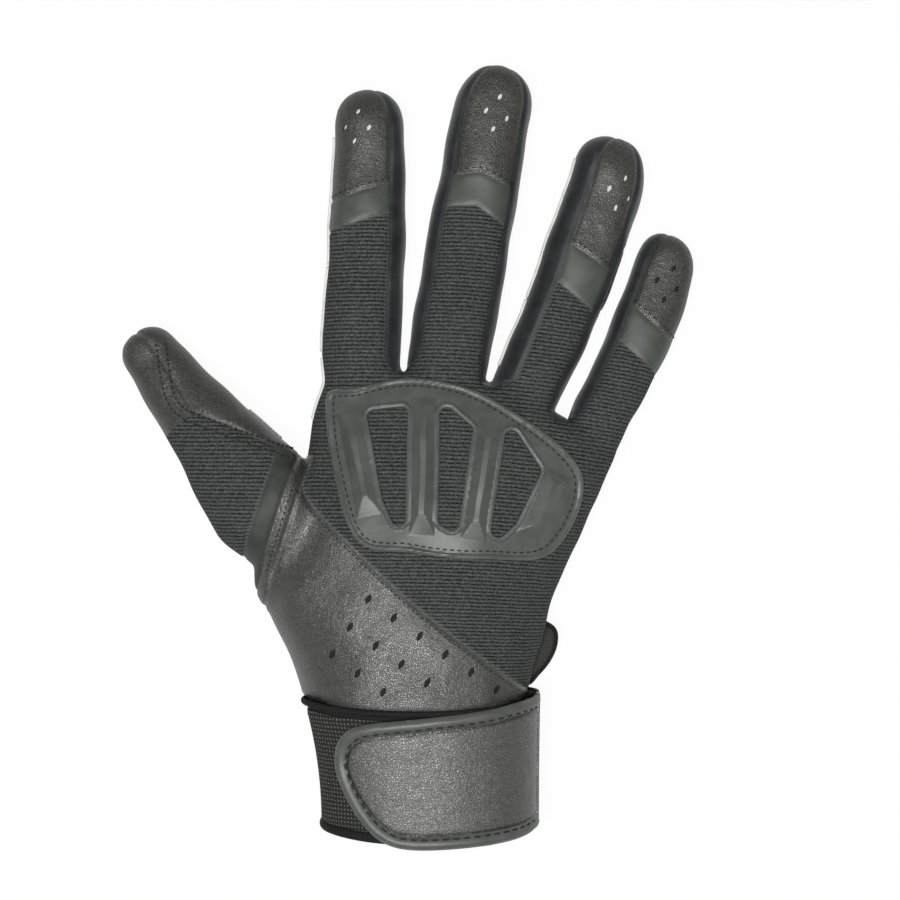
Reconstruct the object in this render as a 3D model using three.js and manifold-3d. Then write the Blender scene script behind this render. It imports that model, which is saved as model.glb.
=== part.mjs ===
// A right-hand batting glove lying palm down, in its worn, open shape.
// Millimetres, +Z up out of the back of the hand, +Y towards the fingertips, +X towards the little finger.
// The origin is the middle of the flat patch that the palm rests on.
import * as THREE from "three";
import { mergeVertices } from "three/addons/utils/BufferGeometryUtils.js";
import Module from "manifold-3d";

const wasm = await Module();
wasm.setup();

// Sheet thicknesses and clearances
const HAND_WALL = 1.3;
const STALL_WALL = 1.2;
const SEAM_GAP = 0.3;
const RIDE_GAP = 0.3;
const CUFF_JOIN_GAP = 0.6;
const CREASE_RELIEF = 1.25;
const PALM_FLAT_CUT = 0.5;
const CUT_TOLERANCE = 0.04;
const CUT_PAST = 4;

// The seam that parts the back of the hand from the palm
const SIDE_SEAM_Z = 13;

// Section roundness: 2 is an ellipse, larger is squarer
const BACK_ROUNDNESS = 2.25;
const PALM_ROUNDNESS = 3.6;
const STALL_ROUNDNESS = 2.35;
const TIP_ROUNDNESS = 2.5;
const TIP_CROWDING = 1.8;

// Hand stations from the wrist to the webs: left end, right end, bow of the middle, height of the back
const HAND_STATIONS = [
  { left: [-39.8, -54], right: [26.2, -54], bow: 0, top: 40.2 },
  { left: [-40.8, -41], right: [26.6, -41], bow: 0, top: 40.2 },
  { left: [-46.2, -26], right: [29.6, -26], bow: 0, top: 38.5 },
  { left: [-52.4, -13], right: [33.8, -12], bow: 0, top: 37 },
  { left: [-51.6, -3], right: [38.8, 1], bow: 0, top: 36 },
  { left: [-46.4, 12], right: [44.8, 13], bow: 1, top: 34.5 },
  { left: [-41.6, 24], right: [49.2, 24], bow: 3, top: 32.5 },
  { left: [-38.4, 40], right: [52.6, 31], bow: 6, top: 28.5 },
  { left: [-36.2, 50], right: [52.4, 34], bow: 9, top: 24 },
  { left: [-34.6, 54.4], right: [49.6, 35.4], bow: 9.6, top: 19 },
];

// Finger stalls: where each one folds from the hand, its lean from +Y, and its size.
// The seam angles run anticlockwise round a stall from its right side, seen from the wrist.
const STALL_FLOOR_GAP = 1.2;
const FINGERS = [
  {
    name: "index", fold: [-23.8, 61.5], lean: 1.9, length: 80.8, bow: 0.4, midJoint: 27,
    width: { base: 23.2, mid: 22.8, tip: 21.2 }, height: { base: 22, tip: 17 }, dome: 14,
    backSeams: { right: 56, left: 176 }, palmSeams: { right: 342, left: 178.5 },
    band: { low: { right: 44.4, left: 37.2, peak: 0 }, high: { right: 53.5, left: 46.2, peak: 0 } },
  },
  {
    name: "middle", fold: [2.5, 61.5], lean: 10.2, length: 89, bow: 0, midJoint: 29,
    width: { base: 24.4, mid: 24.6, tip: 23.2 }, height: { base: 22.5, tip: 17.5 }, dome: 15,
    backSeams: { right: 40, left: 132 }, palmSeams: { right: 345, left: 195 },
    band: { low: { right: 40.1, left: 42.9, peak: 4.2 }, high: { right: 52, left: 52.1, peak: 3.6 } },
  },
  {
    name: "ring", fold: [27.3, 54], lean: 20, length: 78.4, bow: 2, midJoint: 23,
    width: { base: 20.8, mid: 22.9, tip: 22 }, height: { base: 21.5, tip: 17 }, dome: 14,
    backSeams: { right: 40, left: 111 }, palmSeams: { right: 345, left: 184 },
    band: { low: { right: 25, left: 32.8, peak: 0 }, high: { right: 38.4, left: 44.1, peak: 0 } },
  },
  {
    name: "little", fold: [49.1, 45], lean: 22, length: 57.2, bow: 2.4, midJoint: 15,
    width: { base: 17.7, mid: 18.9, tip: 18.2 }, height: { base: 20, tip: 15.5 }, dome: 12,
    backSeams: { right: 4, left: 126 }, palmSeams: { right: 1.5, left: 195 },
    band: { low: { right: 16.2, left: 22.4, peak: 0 }, high: { right: 27.1, left: 33.8, peak: 0 } },
  },
];

// How far the root of a stall runs behind its fold and past it, and how much it narrows inside the hand
const FINGER_ROOT = { behind: 30, past: 4 };
const THUMB_ROOT = { behind: 24, past: 14 };
const ROOT_SINK = 0.3;

// The thumb stall and the line on which it folds from the hand
const THUMB = {
  name: "thumb", fold: [-52.6, 17.4], lean: -38.6, length: 65, bow: 0, midJoint: 34,
  width: { base: 34.4, mid: 24.6, tip: 17 }, height: { base: 30, tip: 15 }, dome: 9.5,
  palmSeams: { right: 338, left: 186 },
};
const THUMB_FOLD_LINE = { from: [-42.3, 31.5], to: [-55.4, -9], tail: 2 };
const THUMB_BAND_WIDTH = 7.5;
const THUMB_STRIP_WIDTH = 4;
const STRIP_TAIL = 1;
const THUMB_OVERLAY_EDGE = { base: 8, mid: 88, tip: 74 };

// The diagonal seam between the leather and the knit of the back, and the perforations below it
const BACK_SEAM = [[-46, 31.5], [-41.6, 26.5], [-39.4, 19], [-31.8, 10.5], [-5.7, -13.5], [27.5, -39.2]];
const HOLE = {
  length: 3, width: 1.5, turn: 28,
  first: [-22.2, -11.8], along: [7.8, -5.5], across: [-5.2, -8.1],
};
const HOLE_ROWS = [6, 4, 3];

// Knuckle guard: a fan-shaped moulding with raised ribs along the hand bones and windows between them
const GUARD = {
  flange: 1.1, rib: 3.1, floor: 17,
  outline: [
    [-33.5, 46.5], [-24, 51.5], [-3, 53.6], [19, 45.5], [41.5, 26],
    [32.5, 3.2], [12, 1.2], [-8, 3], [-25.5, 8.6],
  ],
  ribs: [
    { from: [-26.5, 45], to: [-20.5, 13.6] },
    { from: [-4.6, 48], to: [-5.2, 8] },
    { from: [15, 41.6], to: [9.6, 6.4] },
    { from: [34.6, 26], to: [25.4, 7.6] },
  ],
  ribWidth: 7.4, crestEnd: 0.16,
  windowMargin: 0.9, windowTrim: 0.12, windowCorner: 2.2,
};

// Cuff and wrist strap: sections across the wrist, and where the bands begin and end round them
const CUFF = {
  top: { y: -40.4, left: -40.4, right: 26 }, bottom: { y: -76.4, left: -35, right: 25.6 },
  floor: 2.4, height: 37.4, wall: 1.6, dip: 2.2, from: 7, to: 349, topStep: 1, backArc: 1.35,
};
const BINDING = { width: 3, proud: 0.9 };
const LOOP_PATCH = { thickness: 0.8, from: 56, to: 168 };
const STRAP = {
  thickness: 1.5, width: 39.6, endWidth: 35.2, rise: 1.4, slant: 7, from: 4, to: 136,
  topRadius: 8, bottomRadius: 20, rim: 4.2, rimStep: 0.7,
  anchorFrom: 304, anchorThickness: 1, anchorDrop: 0.6,
};
const HOOK_PATCH = { thickness: 0.8, from: 84, margin: 6 };
const VENT_FLAP = {
  top: -18.2, bottom: -36.5, inner: 31.4, reach: 3.4, thickness: 3, z: 9.4, root: 8, turnIn: 1, belly: 0.35,
};

const rad = THREE.MathUtils.degToRad;
const mix = THREE.MathUtils.lerp;
const FAR = 120;

// Materials
const finish = (color, roughness) => new THREE.MeshStandardMaterial({ color, roughness, metalness: 0 });
const LEATHER = finish(0x54554f, 0.55);
const PALM_LEATHER = finish(0x4a4b46, 0.6);
const KNIT = finish(0x2c2e2f, 0.95);
const FOURCHETTE = finish(0x14181c, 0.8);
const RUBBER = finish(0x555b57, 0.4);
const WEB_BLACK = finish(0x1b1b1a, 0.9);

// Solids: closed geometry in and out of the boolean library
function toSolid(geometry) {
  const bare = new THREE.BufferGeometry().setAttribute("position", geometry.getAttribute("position"));
  bare.setIndex(geometry.index);
  const merged = mergeVertices(bare, 1e-4);
  return new wasm.Manifold(new wasm.Mesh({
    numProp: 3,
    vertProperties: merged.attributes.position.array,
    triVerts: new Uint32Array(merged.index.array),
  }));
}

function toGeometry(solid) {
  const mesh = solid.simplify(CUT_TOLERANCE).getMesh();
  return new THREE.BufferGeometry()
    .setAttribute("position", new THREE.BufferAttribute(new Float32Array(mesh.vertProperties), 3))
    .setIndex(new THREE.BufferAttribute(new Uint32Array(mesh.triVerts), 1));
}

// A closed solid through rings of equal count, each capped with a fan at the ends.
function loft(rings) {
  const count = rings[0].length;
  const centre = (ring) => ring.reduce((sum, p) => sum.add(p), new THREE.Vector3()).divideScalar(count);
  const points = [...rings.flat(), centre(rings[0]), centre(rings.at(-1))];
  const first = rings.length * count;
  const faces = [];
  for (let i = 0; i < count; i++) {
    const next = (i + 1) % count;
    for (let r = 0; r + 1 < rings.length; r++) {
      const [a, b, c, d] = [r * count + i, r * count + next, (r + 1) * count + i, (r + 1) * count + next];
      faces.push(a, c, b, b, c, d);
    }
    faces.push(first, i, next);
    faces.push(first + 1, first - count + next, first - count + i);
  }
  return closedGeometry(points, faces);
}

// A thin sheet between two faces that are functions of (u, v), each from 0 to 1.
function sheet(rows, columns, outer, inner) {
  const points = [];
  for (const face of [outer, inner])
    for (let i = 0; i <= rows; i++)
      for (let j = 0; j <= columns; j++) points.push(face(i / rows, j / columns));
  const at = (side, i, j) => (side * (rows + 1) + i) * (columns + 1) + j;
  const faces = [];
  const quad = (a, b, c, d) => faces.push(a, b, c, a, c, d);
  for (let i = 0; i < rows; i++)
    for (let j = 0; j < columns; j++) {
      quad(at(0, i, j), at(0, i + 1, j), at(0, i + 1, j + 1), at(0, i, j + 1));
      quad(at(1, i, j), at(1, i, j + 1), at(1, i + 1, j + 1), at(1, i + 1, j));
    }
  for (let i = 0; i < rows; i++) {
    quad(at(0, i, 0), at(1, i, 0), at(1, i + 1, 0), at(0, i + 1, 0));
    quad(at(0, i, columns), at(0, i + 1, columns), at(1, i + 1, columns), at(1, i, columns));
  }
  for (let j = 0; j < columns; j++) {
    quad(at(0, 0, j), at(0, 0, j + 1), at(1, 0, j + 1), at(1, 0, j));
    quad(at(0, rows, j), at(1, rows, j), at(1, rows, j + 1), at(0, rows, j + 1));
  }
  return closedGeometry(points, faces);
}

// Merged geometry without the triangles that collapse at a pole, facing outwards.
function closedGeometry(points, faces) {
  const raw = new THREE.BufferGeometry().setFromPoints(points).setIndex(faces);
  const merged = mergeVertices(raw, 1e-3);
  const kept = [];
  const index = merged.index.array;
  let volume = 0;
  const [p, q, r] = [new THREE.Vector3(), new THREE.Vector3(), new THREE.Vector3()];
  for (let i = 0; i < index.length; i += 3) {
    const [a, b, c] = index.subarray(i, i + 3);
    if (a === b || b === c || a === c) continue;
    kept.push([a, b, c]);
    [p, q, r].forEach((v, k) => v.fromBufferAttribute(merged.attributes.position, [a, b, c][k]));
    volume += p.dot(q.cross(r));
  }
  const outwards = volume < 0 ? kept.map(([a, b, c]) => [a, c, b]) : kept;
  return merged.setIndex(outwards.flat());
}

// An upright prism over a plan outline.
function prism(outline, low, high) {
  const shape = new THREE.Shape(outline.map(([x, y]) => new THREE.Vector2(x, y)));
  const geometry = new THREE.ExtrudeGeometry(shape, { depth: high - low, bevelEnabled: false });
  return toSolid(geometry.translate(0, 0, low));
}

// A plan curve through a few points, and the same curve moved sideways (to the left of its run).
function planCurve(points, steps, sideways = 0) {
  const curve = new THREE.SplineCurve(points.map(([x, y]) => new THREE.Vector2(x, y)));
  return Array.from({ length: steps + 1 }, (_, i) => {
    const [at, along] = [curve.getPoint(i / steps), curve.getTangent(i / steps)];
    return [at.x - along.y * sideways, at.y + along.x * sideways];
  });
}

const power = (value, exponent) => Math.sign(value) * Math.abs(value) ** exponent;

// A finger stall's outer and inner skin in its own frame: +Y along the stall from its fold.
function stallSkin(stall) {
  const { base, mid, tip } = stall.width;
  const start = stall.length - stall.dome;
  return (along, angle, inset) => {
    const t = THREE.MathUtils.clamp(along / start, -1, 1);
    const swell = t < 0 ? base : mix(mix(base, mid, Math.min(1, 2 * t)), tip, Math.max(0, 2 * t - 1));
    const high = mix(stall.height.base, stall.height.tip, Math.max(0, t));
    const u = THREE.MathUtils.clamp((along - start) / stall.dome, 0, 1);
    const round = (1 - u ** TIP_ROUNDNESS) ** (1 / TIP_ROUNDNESS);
    const a = (swell / 2 - inset) * round;
    const b = (high / 2 - inset) * round;
    const y = along <= start ? along : start + u * (stall.dome - inset);
    const bow = stall.bow * 4 * Math.max(0, along / stall.length) * (1 - along / stall.length);
    return new THREE.Vector3(
      bow + a * power(Math.cos(angle), 2 / STALL_ROUNDNESS),
      y,
      STALL_FLOOR_GAP + high / 2 + b * power(Math.sin(angle), 2 / STALL_ROUNDNESS),
    );
  };
}

// A stall's skin as a solid tube from behind its fold to a little past it, sunk into the hand at its root.
function stallRoot(stall, { behind, past }, offset) {
  const ROOT_POINTS = 20;
  const skin = stallSkin(stall);
  const rings = [-behind, -behind / 2, -behind / 6, past - Math.min(offset, 0)].map((along) => {
    const sink = THREE.MathUtils.smoothstep(-along, 0, behind) * ROOT_SINK;
    return Array.from({ length: ROOT_POINTS }, (_, i) => {
      const p = skin(along, (i / ROOT_POINTS) * 2 * Math.PI, -offset);
      return p.set(p.x * (1 - sink), p.y, p.z * (1 - sink) + sink * SIDE_SEAM_Z);
    });
  });
  return toSolid(placed(loft(rings), stall));
}

function placed(geometry, stall) {
  return geometry.rotateZ(-rad(stall.lean)).translate(...stall.fold, 0);
}

// The hand's body between its stations, grown by an offset (shrunk if negative).
function handBody(offset) {
  const SECTION_POINTS = 36;
  const rings = HAND_STATIONS.map(({ left, right, bow, top }, station) => {
    const [l, r] = [new THREE.Vector2(...left), new THREE.Vector2(...right)];
    const along = r.clone().sub(l).normalize().multiplyScalar(offset);
    l.sub(along);
    r.add(along);
    const last = station === HAND_STATIONS.length - 1;
    const shift = last ? offset : station === 0 ? -2 * Math.abs(Math.min(offset, 0)) : 0;
    const control = l.clone().add(r).multiplyScalar(0.5).add(new THREE.Vector2(0, 2 * bow));
    const line = new THREE.QuadraticBezierCurve(l, control, r);
    return Array.from({ length: SECTION_POINTS }, (_, i) => {
      const angle = (i / SECTION_POINTS) * 2 * Math.PI;
      const upper = Math.sin(angle) >= 0;
      const exponent = 2 / (upper ? BACK_ROUNDNESS : PALM_ROUNDNESS);
      const plan = line.getPoint((1 + power(Math.cos(angle), exponent)) / 2);
      const rise = upper ? top + offset - SIDE_SEAM_Z : SIDE_SEAM_Z + PALM_FLAT_CUT + offset;
      return new THREE.Vector3(plan.x, plan.y + shift, SIDE_SEAM_Z + rise * power(Math.sin(angle), exponent));
    });
  });
  return toSolid(loft(rings));
}

// The whole hand with the roots of its stalls.
function handForm(offset) {
  const roots = FINGERS.map((finger) => stallRoot(finger, FINGER_ROOT, offset));
  roots.push(stallRoot(THUMB, THUMB_ROOT, offset));
  return roots.reduce((form, root) => form.add(root), handBody(offset));
}

// The plan region that stays with the hand: behind each finger's fold and inside the thumb's fold line.
function handRegion(gap) {
  const [index, middle, ring, little] = FINGERS;
  const { from, to, tail } = THUMB_FOLD_LINE;
  const front = Math.min(index.fold[1], middle.fold[1]) - gap;
  return [
    [-FAR, -FAR], [FAR, -FAR], [FAR, little.fold[1] - gap],
    ...webLine(ring, little, gap), ...webLine(middle, ring, gap),
    [from[0] + gap, front], [from[0] + gap, from[1]], [to[0] + gap, to[1]], [-FAR, to[1] - tail],
  ];
}

// The line between two neighbouring fingers, from the fold of the right one up to the fold of the left one.
function webLine(left, right, gap) {
  const middle = (left.fold[0] + right.fold[0]) / 2 + (left.width.base - right.width.base) / 4;
  const shift = (left.fold[1] - right.fold[1]) / 2 * Math.tan(rad((left.lean + right.lean) / 2));
  return [[middle - shift, right.fold[1] - gap], [middle + shift, left.fold[1] - gap]];
}

// Grooves under the fold axes, so that the palm leather clears the stalls as they close.
const GROOVE_SHARE = { finger: 0.9, thumb: 0.85 };
function creaseGrooves() {
  const axis = STALL_FLOOR_GAP + STALL_WALL;
  const depth = axis + CUT_PAST;
  const half = depth * CREASE_RELIEF / STALL_WALL;
  const wedge = (length) => {
    const section = [[-half, -depth], [half, -depth], [0, 0]].map((p) => new THREE.Vector2(...p));
    const bar = new THREE.ExtrudeGeometry(new THREE.Shape(section), { depth: length, bevelEnabled: false });
    return bar.translate(0, 0, -length / 2).rotateX(Math.PI / 2).rotateZ(Math.PI / 2);
  };
  const grooves = FINGERS.map(({ fold, width }) =>
    wedge(width.base * GROOVE_SHARE.finger).translate(...fold, axis));
  const { from, to } = THUMB_FOLD_LINE;
  const [run, rise] = [to[0] - from[0], to[1] - from[1]];
  const thumb = wedge(Math.hypot(run, rise) * GROOVE_SHARE.thumb).rotateZ(Math.atan2(rise, run));
  grooves.push(thumb.translate((from[0] + to[0]) / 2, (from[1] + to[1]) / 2, axis));
  return grooves.map(toSolid);
}

const glove = new THREE.Group();

function add(name, geometry, material, parent = glove) {
  const mesh = new THREE.Mesh(geometry, material);
  mesh.name = name;
  parent.add(mesh);
}

// Hand panels
const outerForm = handForm(0);
const handPrism = prism(handRegion(SEAM_GAP / 2), -FAR, FAR);
const openShell = outerForm.subtract(handForm(-HAND_WALL)).intersect(handPrism);
const handShell = creaseGrooves().reduce((shell, groove) => shell.subtract(groove), openShell);

// The cuff's top edge in plan: straight under the palm, dipping towards the wrist over the back
function cuffLine(dip) {
  const middle = (CUFF.top.left + CUFF.top.right) / 2;
  const half = (CUFF.top.right - CUFF.top.left) / 2;
  const STEPS = 24;
  return Array.from({ length: STEPS + 1 }, (_, i) => {
    const across = mix(-1, 1, i / STEPS);
    const sink = dip * (1 - Math.abs(across) ** BACK_ROUNDNESS);
    return [middle + across * half, CUFF.top.y + CUFF_JOIN_GAP - sink];
  });
}
const joinY = CUFF.top.y + CUFF_JOIN_GAP;
const aboveCuff = (dip) => [[-FAR, joinY], ...cuffLine(dip), [FAR, joinY], [FAR, FAR], [-FAR, FAR]];
const backShell = handShell.intersect(prism(aboveCuff(CUFF.dip), SIDE_SEAM_Z + SEAM_GAP / 2, FAR));
const palmShell = handShell.intersect(prism(aboveCuff(0), 0, SIDE_SEAM_Z - SEAM_GAP / 2));
add("palm_leather", toGeometry(palmShell), PALM_LEATHER);

// The palm's bound edge at the vent, which bulges out beside the wrist
const ventBelly = mix(VENT_FLAP.top, VENT_FLAP.bottom, VENT_FLAP.belly);
const ventOutline = planCurve(
  [[VENT_FLAP.inner, VENT_FLAP.top], [VENT_FLAP.inner + VENT_FLAP.reach, ventBelly],
    [VENT_FLAP.inner - VENT_FLAP.turnIn, VENT_FLAP.bottom]], 12);
const ventRoot = [VENT_FLAP.bottom, VENT_FLAP.top].map((y) => [VENT_FLAP.inner - VENT_FLAP.root, y]);
const ventBlock = prism([...ventOutline, ...ventRoot], VENT_FLAP.z, VENT_FLAP.z + VENT_FLAP.thickness);
add("vent_flap", toGeometry(ventBlock.subtract(handForm(RIDE_GAP))), PALM_LEATHER);

const seamSteps = 24;
const knitSide = planCurve(BACK_SEAM, seamSteps, SEAM_GAP / 2);
const leatherSide = planCurve(BACK_SEAM, seamSteps, -SEAM_GAP / 2);
const [seamTop, seamFoot] = [BACK_SEAM[0][1], BACK_SEAM.at(-1)[1]];
const knitRegion = [[-FAR, FAR], [-FAR, seamTop], ...knitSide, [FAR, seamFoot], [FAR, FAR]];
add("back_knit", toGeometry(backShell.intersect(prism(knitRegion, 0, FAR))), KNIT);

const foldLine = [THUMB_FOLD_LINE.from, THUMB_FOLD_LINE.to];
const beside = (distance) => foldLine.map(([x, y]) => [x + distance, y]);
const [stripTop, stripEnd] = beside(THUMB_STRIP_WIDTH - SEAM_GAP / 2);
const stripFoot = stripEnd[1] - STRIP_TAIL;
const stripRegion = [[-FAR, stripTop[1]], stripTop, stripEnd, [stripEnd[0], stripFoot], [-FAR, stripFoot]];
const [leatherTop, leatherEnd] = beside(THUMB_STRIP_WIDTH + SEAM_GAP / 2);
const leatherFoot = stripFoot - SEAM_GAP;
const underSeam = [...leatherSide, [FAR, -FAR], [-FAR, -FAR], [-FAR, seamTop]];
const leatherRegion = [
  leatherTop, [FAR, leatherTop[1]], [FAR, -FAR], [-FAR, -FAR],
  [-FAR, leatherFoot], [leatherEnd[0], leatherFoot],
];
const leatherBack = backShell.intersect(prism(underSeam, 0, FAR));
add("thumb_seam_strip", toGeometry(leatherBack.intersect(prism(stripRegion, 0, FAR))), LEATHER);

// A slanted lozenge hole through a sheet, at a plan point.
function lozenge([x, y], { length, width, turn }) {
  const points = [[0, length / 2], [width / 2, 0], [0, -length / 2], [-width / 2, 0]];
  const [c, s] = [Math.cos(-rad(turn)), Math.sin(-rad(turn))];
  return prism(points.map(([u, v]) => [x + u * c - v * s, y + u * s + v * c]), 0, FAR);
}

let perforated = leatherBack.intersect(prism(leatherRegion, 0, FAR));
HOLE_ROWS.forEach((count, row) => {
  for (let i = 0; i < count; i++) {
    const at = [0, 1].map((k) => HOLE.first[k] + HOLE.along[k] * i + HOLE.across[k] * row);
    perforated = perforated.subtract(lozenge(at, HOLE));
  }
});
add("back_leather", toGeometry(perforated), LEATHER);

// Knuckle guard: a stitched flange with windows, and bevelled ribs trimmed to the back of the hand
function capsule(from, to, width) {
  const along = new THREE.Vector2(to[0] - from[0], to[1] - from[1]).normalize();
  const heading = along.angle();
  const STEPS = 6;
  const cap = ([x, y], start) => Array.from({ length: STEPS + 1 }, (_, i) => {
    const angle = heading + start + (i / STEPS) * Math.PI;
    return [x + Math.cos(angle) * width / 2, y + Math.sin(angle) * width / 2];
  });
  return [...cap(to, -Math.PI / 2), ...cap(from, Math.PI / 2)];
}

const bothSides = new THREE.MeshBasicMaterial({ side: THREE.DoubleSide });
const surface = new THREE.Mesh(toGeometry(outerForm), bothSides);
const probe = new THREE.Raycaster();
function backHeight([x, y]) {
  probe.set(new THREE.Vector3(x, y, FAR), new THREE.Vector3(0, 0, -1));
  return probe.intersectObject(surface)[0].point.z;
}

function guardRib({ from, to }) {
  const lift = RIDE_GAP + GUARD.rib;
  const between = (t) => [mix(from[0], to[0], t), mix(from[1], to[1], t)];
  const ridge = [GUARD.crestEnd, 0.5, 1 - GUARD.crestEnd].map(between);
  const crest = ridge.map(([x, y]) => [x, y, backHeight([x, y]) + lift]);
  const foot = capsule(from, to, GUARD.ribWidth).map(([x, y]) => [x, y, backHeight([x, y]) + GUARD.flange]);
  const sunk = foot.map(([x, y, z]) => [x, y, z - GUARD.rib]);
  return wasm.Manifold.hull([...crest, ...foot, ...sunk]);
}

// A window between two ribs: it narrows with them and has round corners.
function guardWindow(left, right) {
  const reach = GUARD.ribWidth / 2 + GUARD.windowMargin + GUARD.windowCorner;
  const CORNER_STEPS = 12;
  const rims = [[left, reach], [right, -reach]].flatMap(([{ from, to }, aside]) => {
    const along = new THREE.Vector2(to[0] - from[0], to[1] - from[1]).normalize();
    return [GUARD.windowTrim, 1 - GUARD.windowTrim].flatMap((t) => {
      const x = mix(from[0], to[0], t) - along.y * aside;
      const y = mix(from[1], to[1], t) + along.x * aside;
      return Array.from({ length: CORNER_STEPS }, (_, i) => {
        const angle = (i / CORNER_STEPS) * 2 * Math.PI;
        return [x + GUARD.windowCorner * Math.cos(angle), y + GUARD.windowCorner * Math.sin(angle)];
      });
    });
  });
  return wasm.Manifold.hull(rims.flatMap(([x, y]) => [[x, y, 0], [x, y, FAR]]));
}

const seatForm = handForm(RIDE_GAP);
const guardOutline = planCurve([...GUARD.outline, GUARD.outline[0]], 36).slice(0, -1);
const guardPrism = prism(guardOutline, GUARD.floor, FAR);
let guard = handForm(RIDE_GAP + GUARD.flange).subtract(seatForm).intersect(guardPrism);
GUARD.ribs.slice(1).forEach((rib, i) => {
  guard = guard.subtract(guardWindow(GUARD.ribs[i], rib));
});
for (const rib of GUARD.ribs) guard = guard.add(guardRib(rib).subtract(seatForm));
add("knuckle_guard", toGeometry(guard), RUBBER);

// One panel of a stall: a curved sheet between two limits along the stall and two seams round it.
// A crease limit is bevelled on the outer face below the fold's axis, so that the stall can close on it.
const wholeTurn = (value) => () => value;
const LIMIT_PASSES = 4;

function stallPanel(stall, { start, end, right, left, rows, columns, parent, name, material }) {
  const skin = stallSkin(stall);
  const seam = SEAM_GAP / stall.width.mid;
  const face = (inset) => (u, v) => {
    let along = start.at(0, 0, inset);
    let angle = 0;
    for (let pass = 0; pass < LIMIT_PASSES; pass++) {
      angle = mix(rad(right(along)) + seam, rad(left(along)) - seam, v);
      const [low, high] = [start, end].map((limit) =>
        limit.at(angle, creaseBevel(skin, limit, angle, inset), inset));
      along = mix(low, high, end.tip ? 1 - (1 - u) ** TIP_CROWDING : u);
    }
    return skin(along, angle, inset);
  };
  add(name, sheet(rows, columns, face(0), face(STALL_WALL)), material, parent);
}

function creaseBevel(skin, limit, angle, inset) {
  if (!limit.crease || inset > 0) return 0;
  const below = STALL_FLOOR_GAP + STALL_WALL - skin(limit.at(angle, 0, 0), angle, 0).z;
  return CREASE_RELIEF * THREE.MathUtils.clamp(below / STALL_WALL, 0, 1);
}

// Limits along a stall: a plain cut across it, a slanted or peaked seam, and the fold from the hand.
const across = (along, sign) => ({
  crease: true,
  at: (angle, bevel) => along + sign * (SEAM_GAP / 2 + bevel),
});
const tipOf = (stall) => ({ tip: true, at: () => stall.length });

function slanted({ right, left, peak }, sign) {
  return {
    at: (angle) => {
      const side = (1 - Math.cos(angle)) / 2;
      return mix(right, left, side) + peak * (1 - Math.abs(Math.cos(angle))) + sign * SEAM_GAP / 2;
    },
  };
}

function fingerFold(finger) {
  const slope = Math.tan(rad(finger.lean));
  const at = (angle, bevel, inset) => {
    const sideways = (finger.width.base / 2 - inset) * power(Math.cos(angle), 2 / STALL_ROUNDNESS);
    return sideways * slope + (SEAM_GAP / 2 + bevel) / Math.cos(rad(finger.lean));
  };
  return { crease: true, at };
}

function stallGroup(stall) {
  const group = new THREE.Group();
  group.position.set(...stall.fold, 0);
  group.rotation.z = -rad(stall.lean);
  glove.add(group);
  return group;
}

const LEAST_SIDE = 5;
for (const finger of FINGERS) {
  const parent = stallGroup(finger);
  const { name, backSeams, palmSeams, midJoint } = finger;
  const frontEnd = palmSeams.right < 90 ? palmSeams.right + 360 : palmSeams.right;
  const back = [backSeams.right, backSeams.left];
  const front = [palmSeams.left, frontEnd];
  const sides = [];
  if (palmSeams.right > 180) sides.push(["ulnar", palmSeams.right - 360, backSeams.right]);
  if (palmSeams.left > backSeams.left + LEAST_SIDE) sides.push(["radial", backSeams.left, palmSeams.left]);
  const panel = (part, [right, left], start, end, rows, columns, material) => stallPanel(finger, {
    name: `${name}_${part}`, right: wholeTurn(right), left: wholeTurn(left),
    start, end, rows, columns, material, parent,
  });
  const lower = [fingerFold(finger), across(midJoint, -1)];
  const upperStart = across(midJoint, 1);
  const tip = tipOf(finger);
  panel("back_lower", back, ...lower, 4, 6, KNIT);
  panel("front_lower", front, ...lower, 3, 8, PALM_LEATHER);
  panel("back_upper", back, upperStart, slanted(finger.band.low, -1), 3, 6, KNIT);
  panel("flex_band", back, slanted(finger.band.low, 1), slanted(finger.band.high, -1), 2, 8, RUBBER);
  panel("tip_back", back, slanted(finger.band.high, 1), tip, 7, 6, LEATHER);
  panel("front_upper", front, upperStart, tip, 8, 7, PALM_LEATHER);
  for (const [side, right, left] of sides) {
    panel(`${side}_fourchette_lower`, [right, left], ...lower, 3, 3, FOURCHETTE);
    panel(`${side}_fourchette_upper`, [right, left], upperStart, tip, 9, 3, FOURCHETTE);
  }
}

// Thumb: knit back with a flex band at its fold, a leather overlay on the inner side, leather front
const foldFrom = new THREE.Vector2(...THUMB_FOLD_LINE.from);
const foldAlong = new THREE.Vector2(...THUMB_FOLD_LINE.to).sub(foldFrom).normalize();
const thumbSkin = stallSkin(THUMB);

// How far a point of the thumb's skin lies outside the fold line.
function beyondFold(along, angle, inset) {
  const local = thumbSkin(along, angle, inset);
  const turned = new THREE.Vector2(local.x, local.y).rotateAround(new THREE.Vector2(), -rad(THUMB.lean));
  turned.add(new THREE.Vector2(...THUMB.fold)).sub(foldFrom);
  return foldAlong.y * turned.x - foldAlong.x * turned.y;
}

const HALVINGS = 40;
function fromFold(distance, crease) {
  const at = (angle, bevel, inset) => {
    let [low, high] = [-THUMB.length, THUMB.length];
    for (let step = 0; step < HALVINGS; step++) {
      const middle = (low + high) / 2;
      if (beyondFold(middle, angle, inset) < distance + bevel) low = middle;
      else high = middle;
    }
    return (low + high) / 2;
  };
  return { crease, at };
}

function overlayEdge(along) {
  const { base, mid, tip } = THUMB_OVERLAY_EDGE;
  const t = THREE.MathUtils.clamp(along / THUMB.midJoint, 0, 1);
  const u = THREE.MathUtils.clamp((along - THUMB.midJoint) / (THUMB.length - THUMB.midJoint), 0, 1);
  return u > 0 ? mix(mid, tip, u) : mix(base, mid, t);
}

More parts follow.
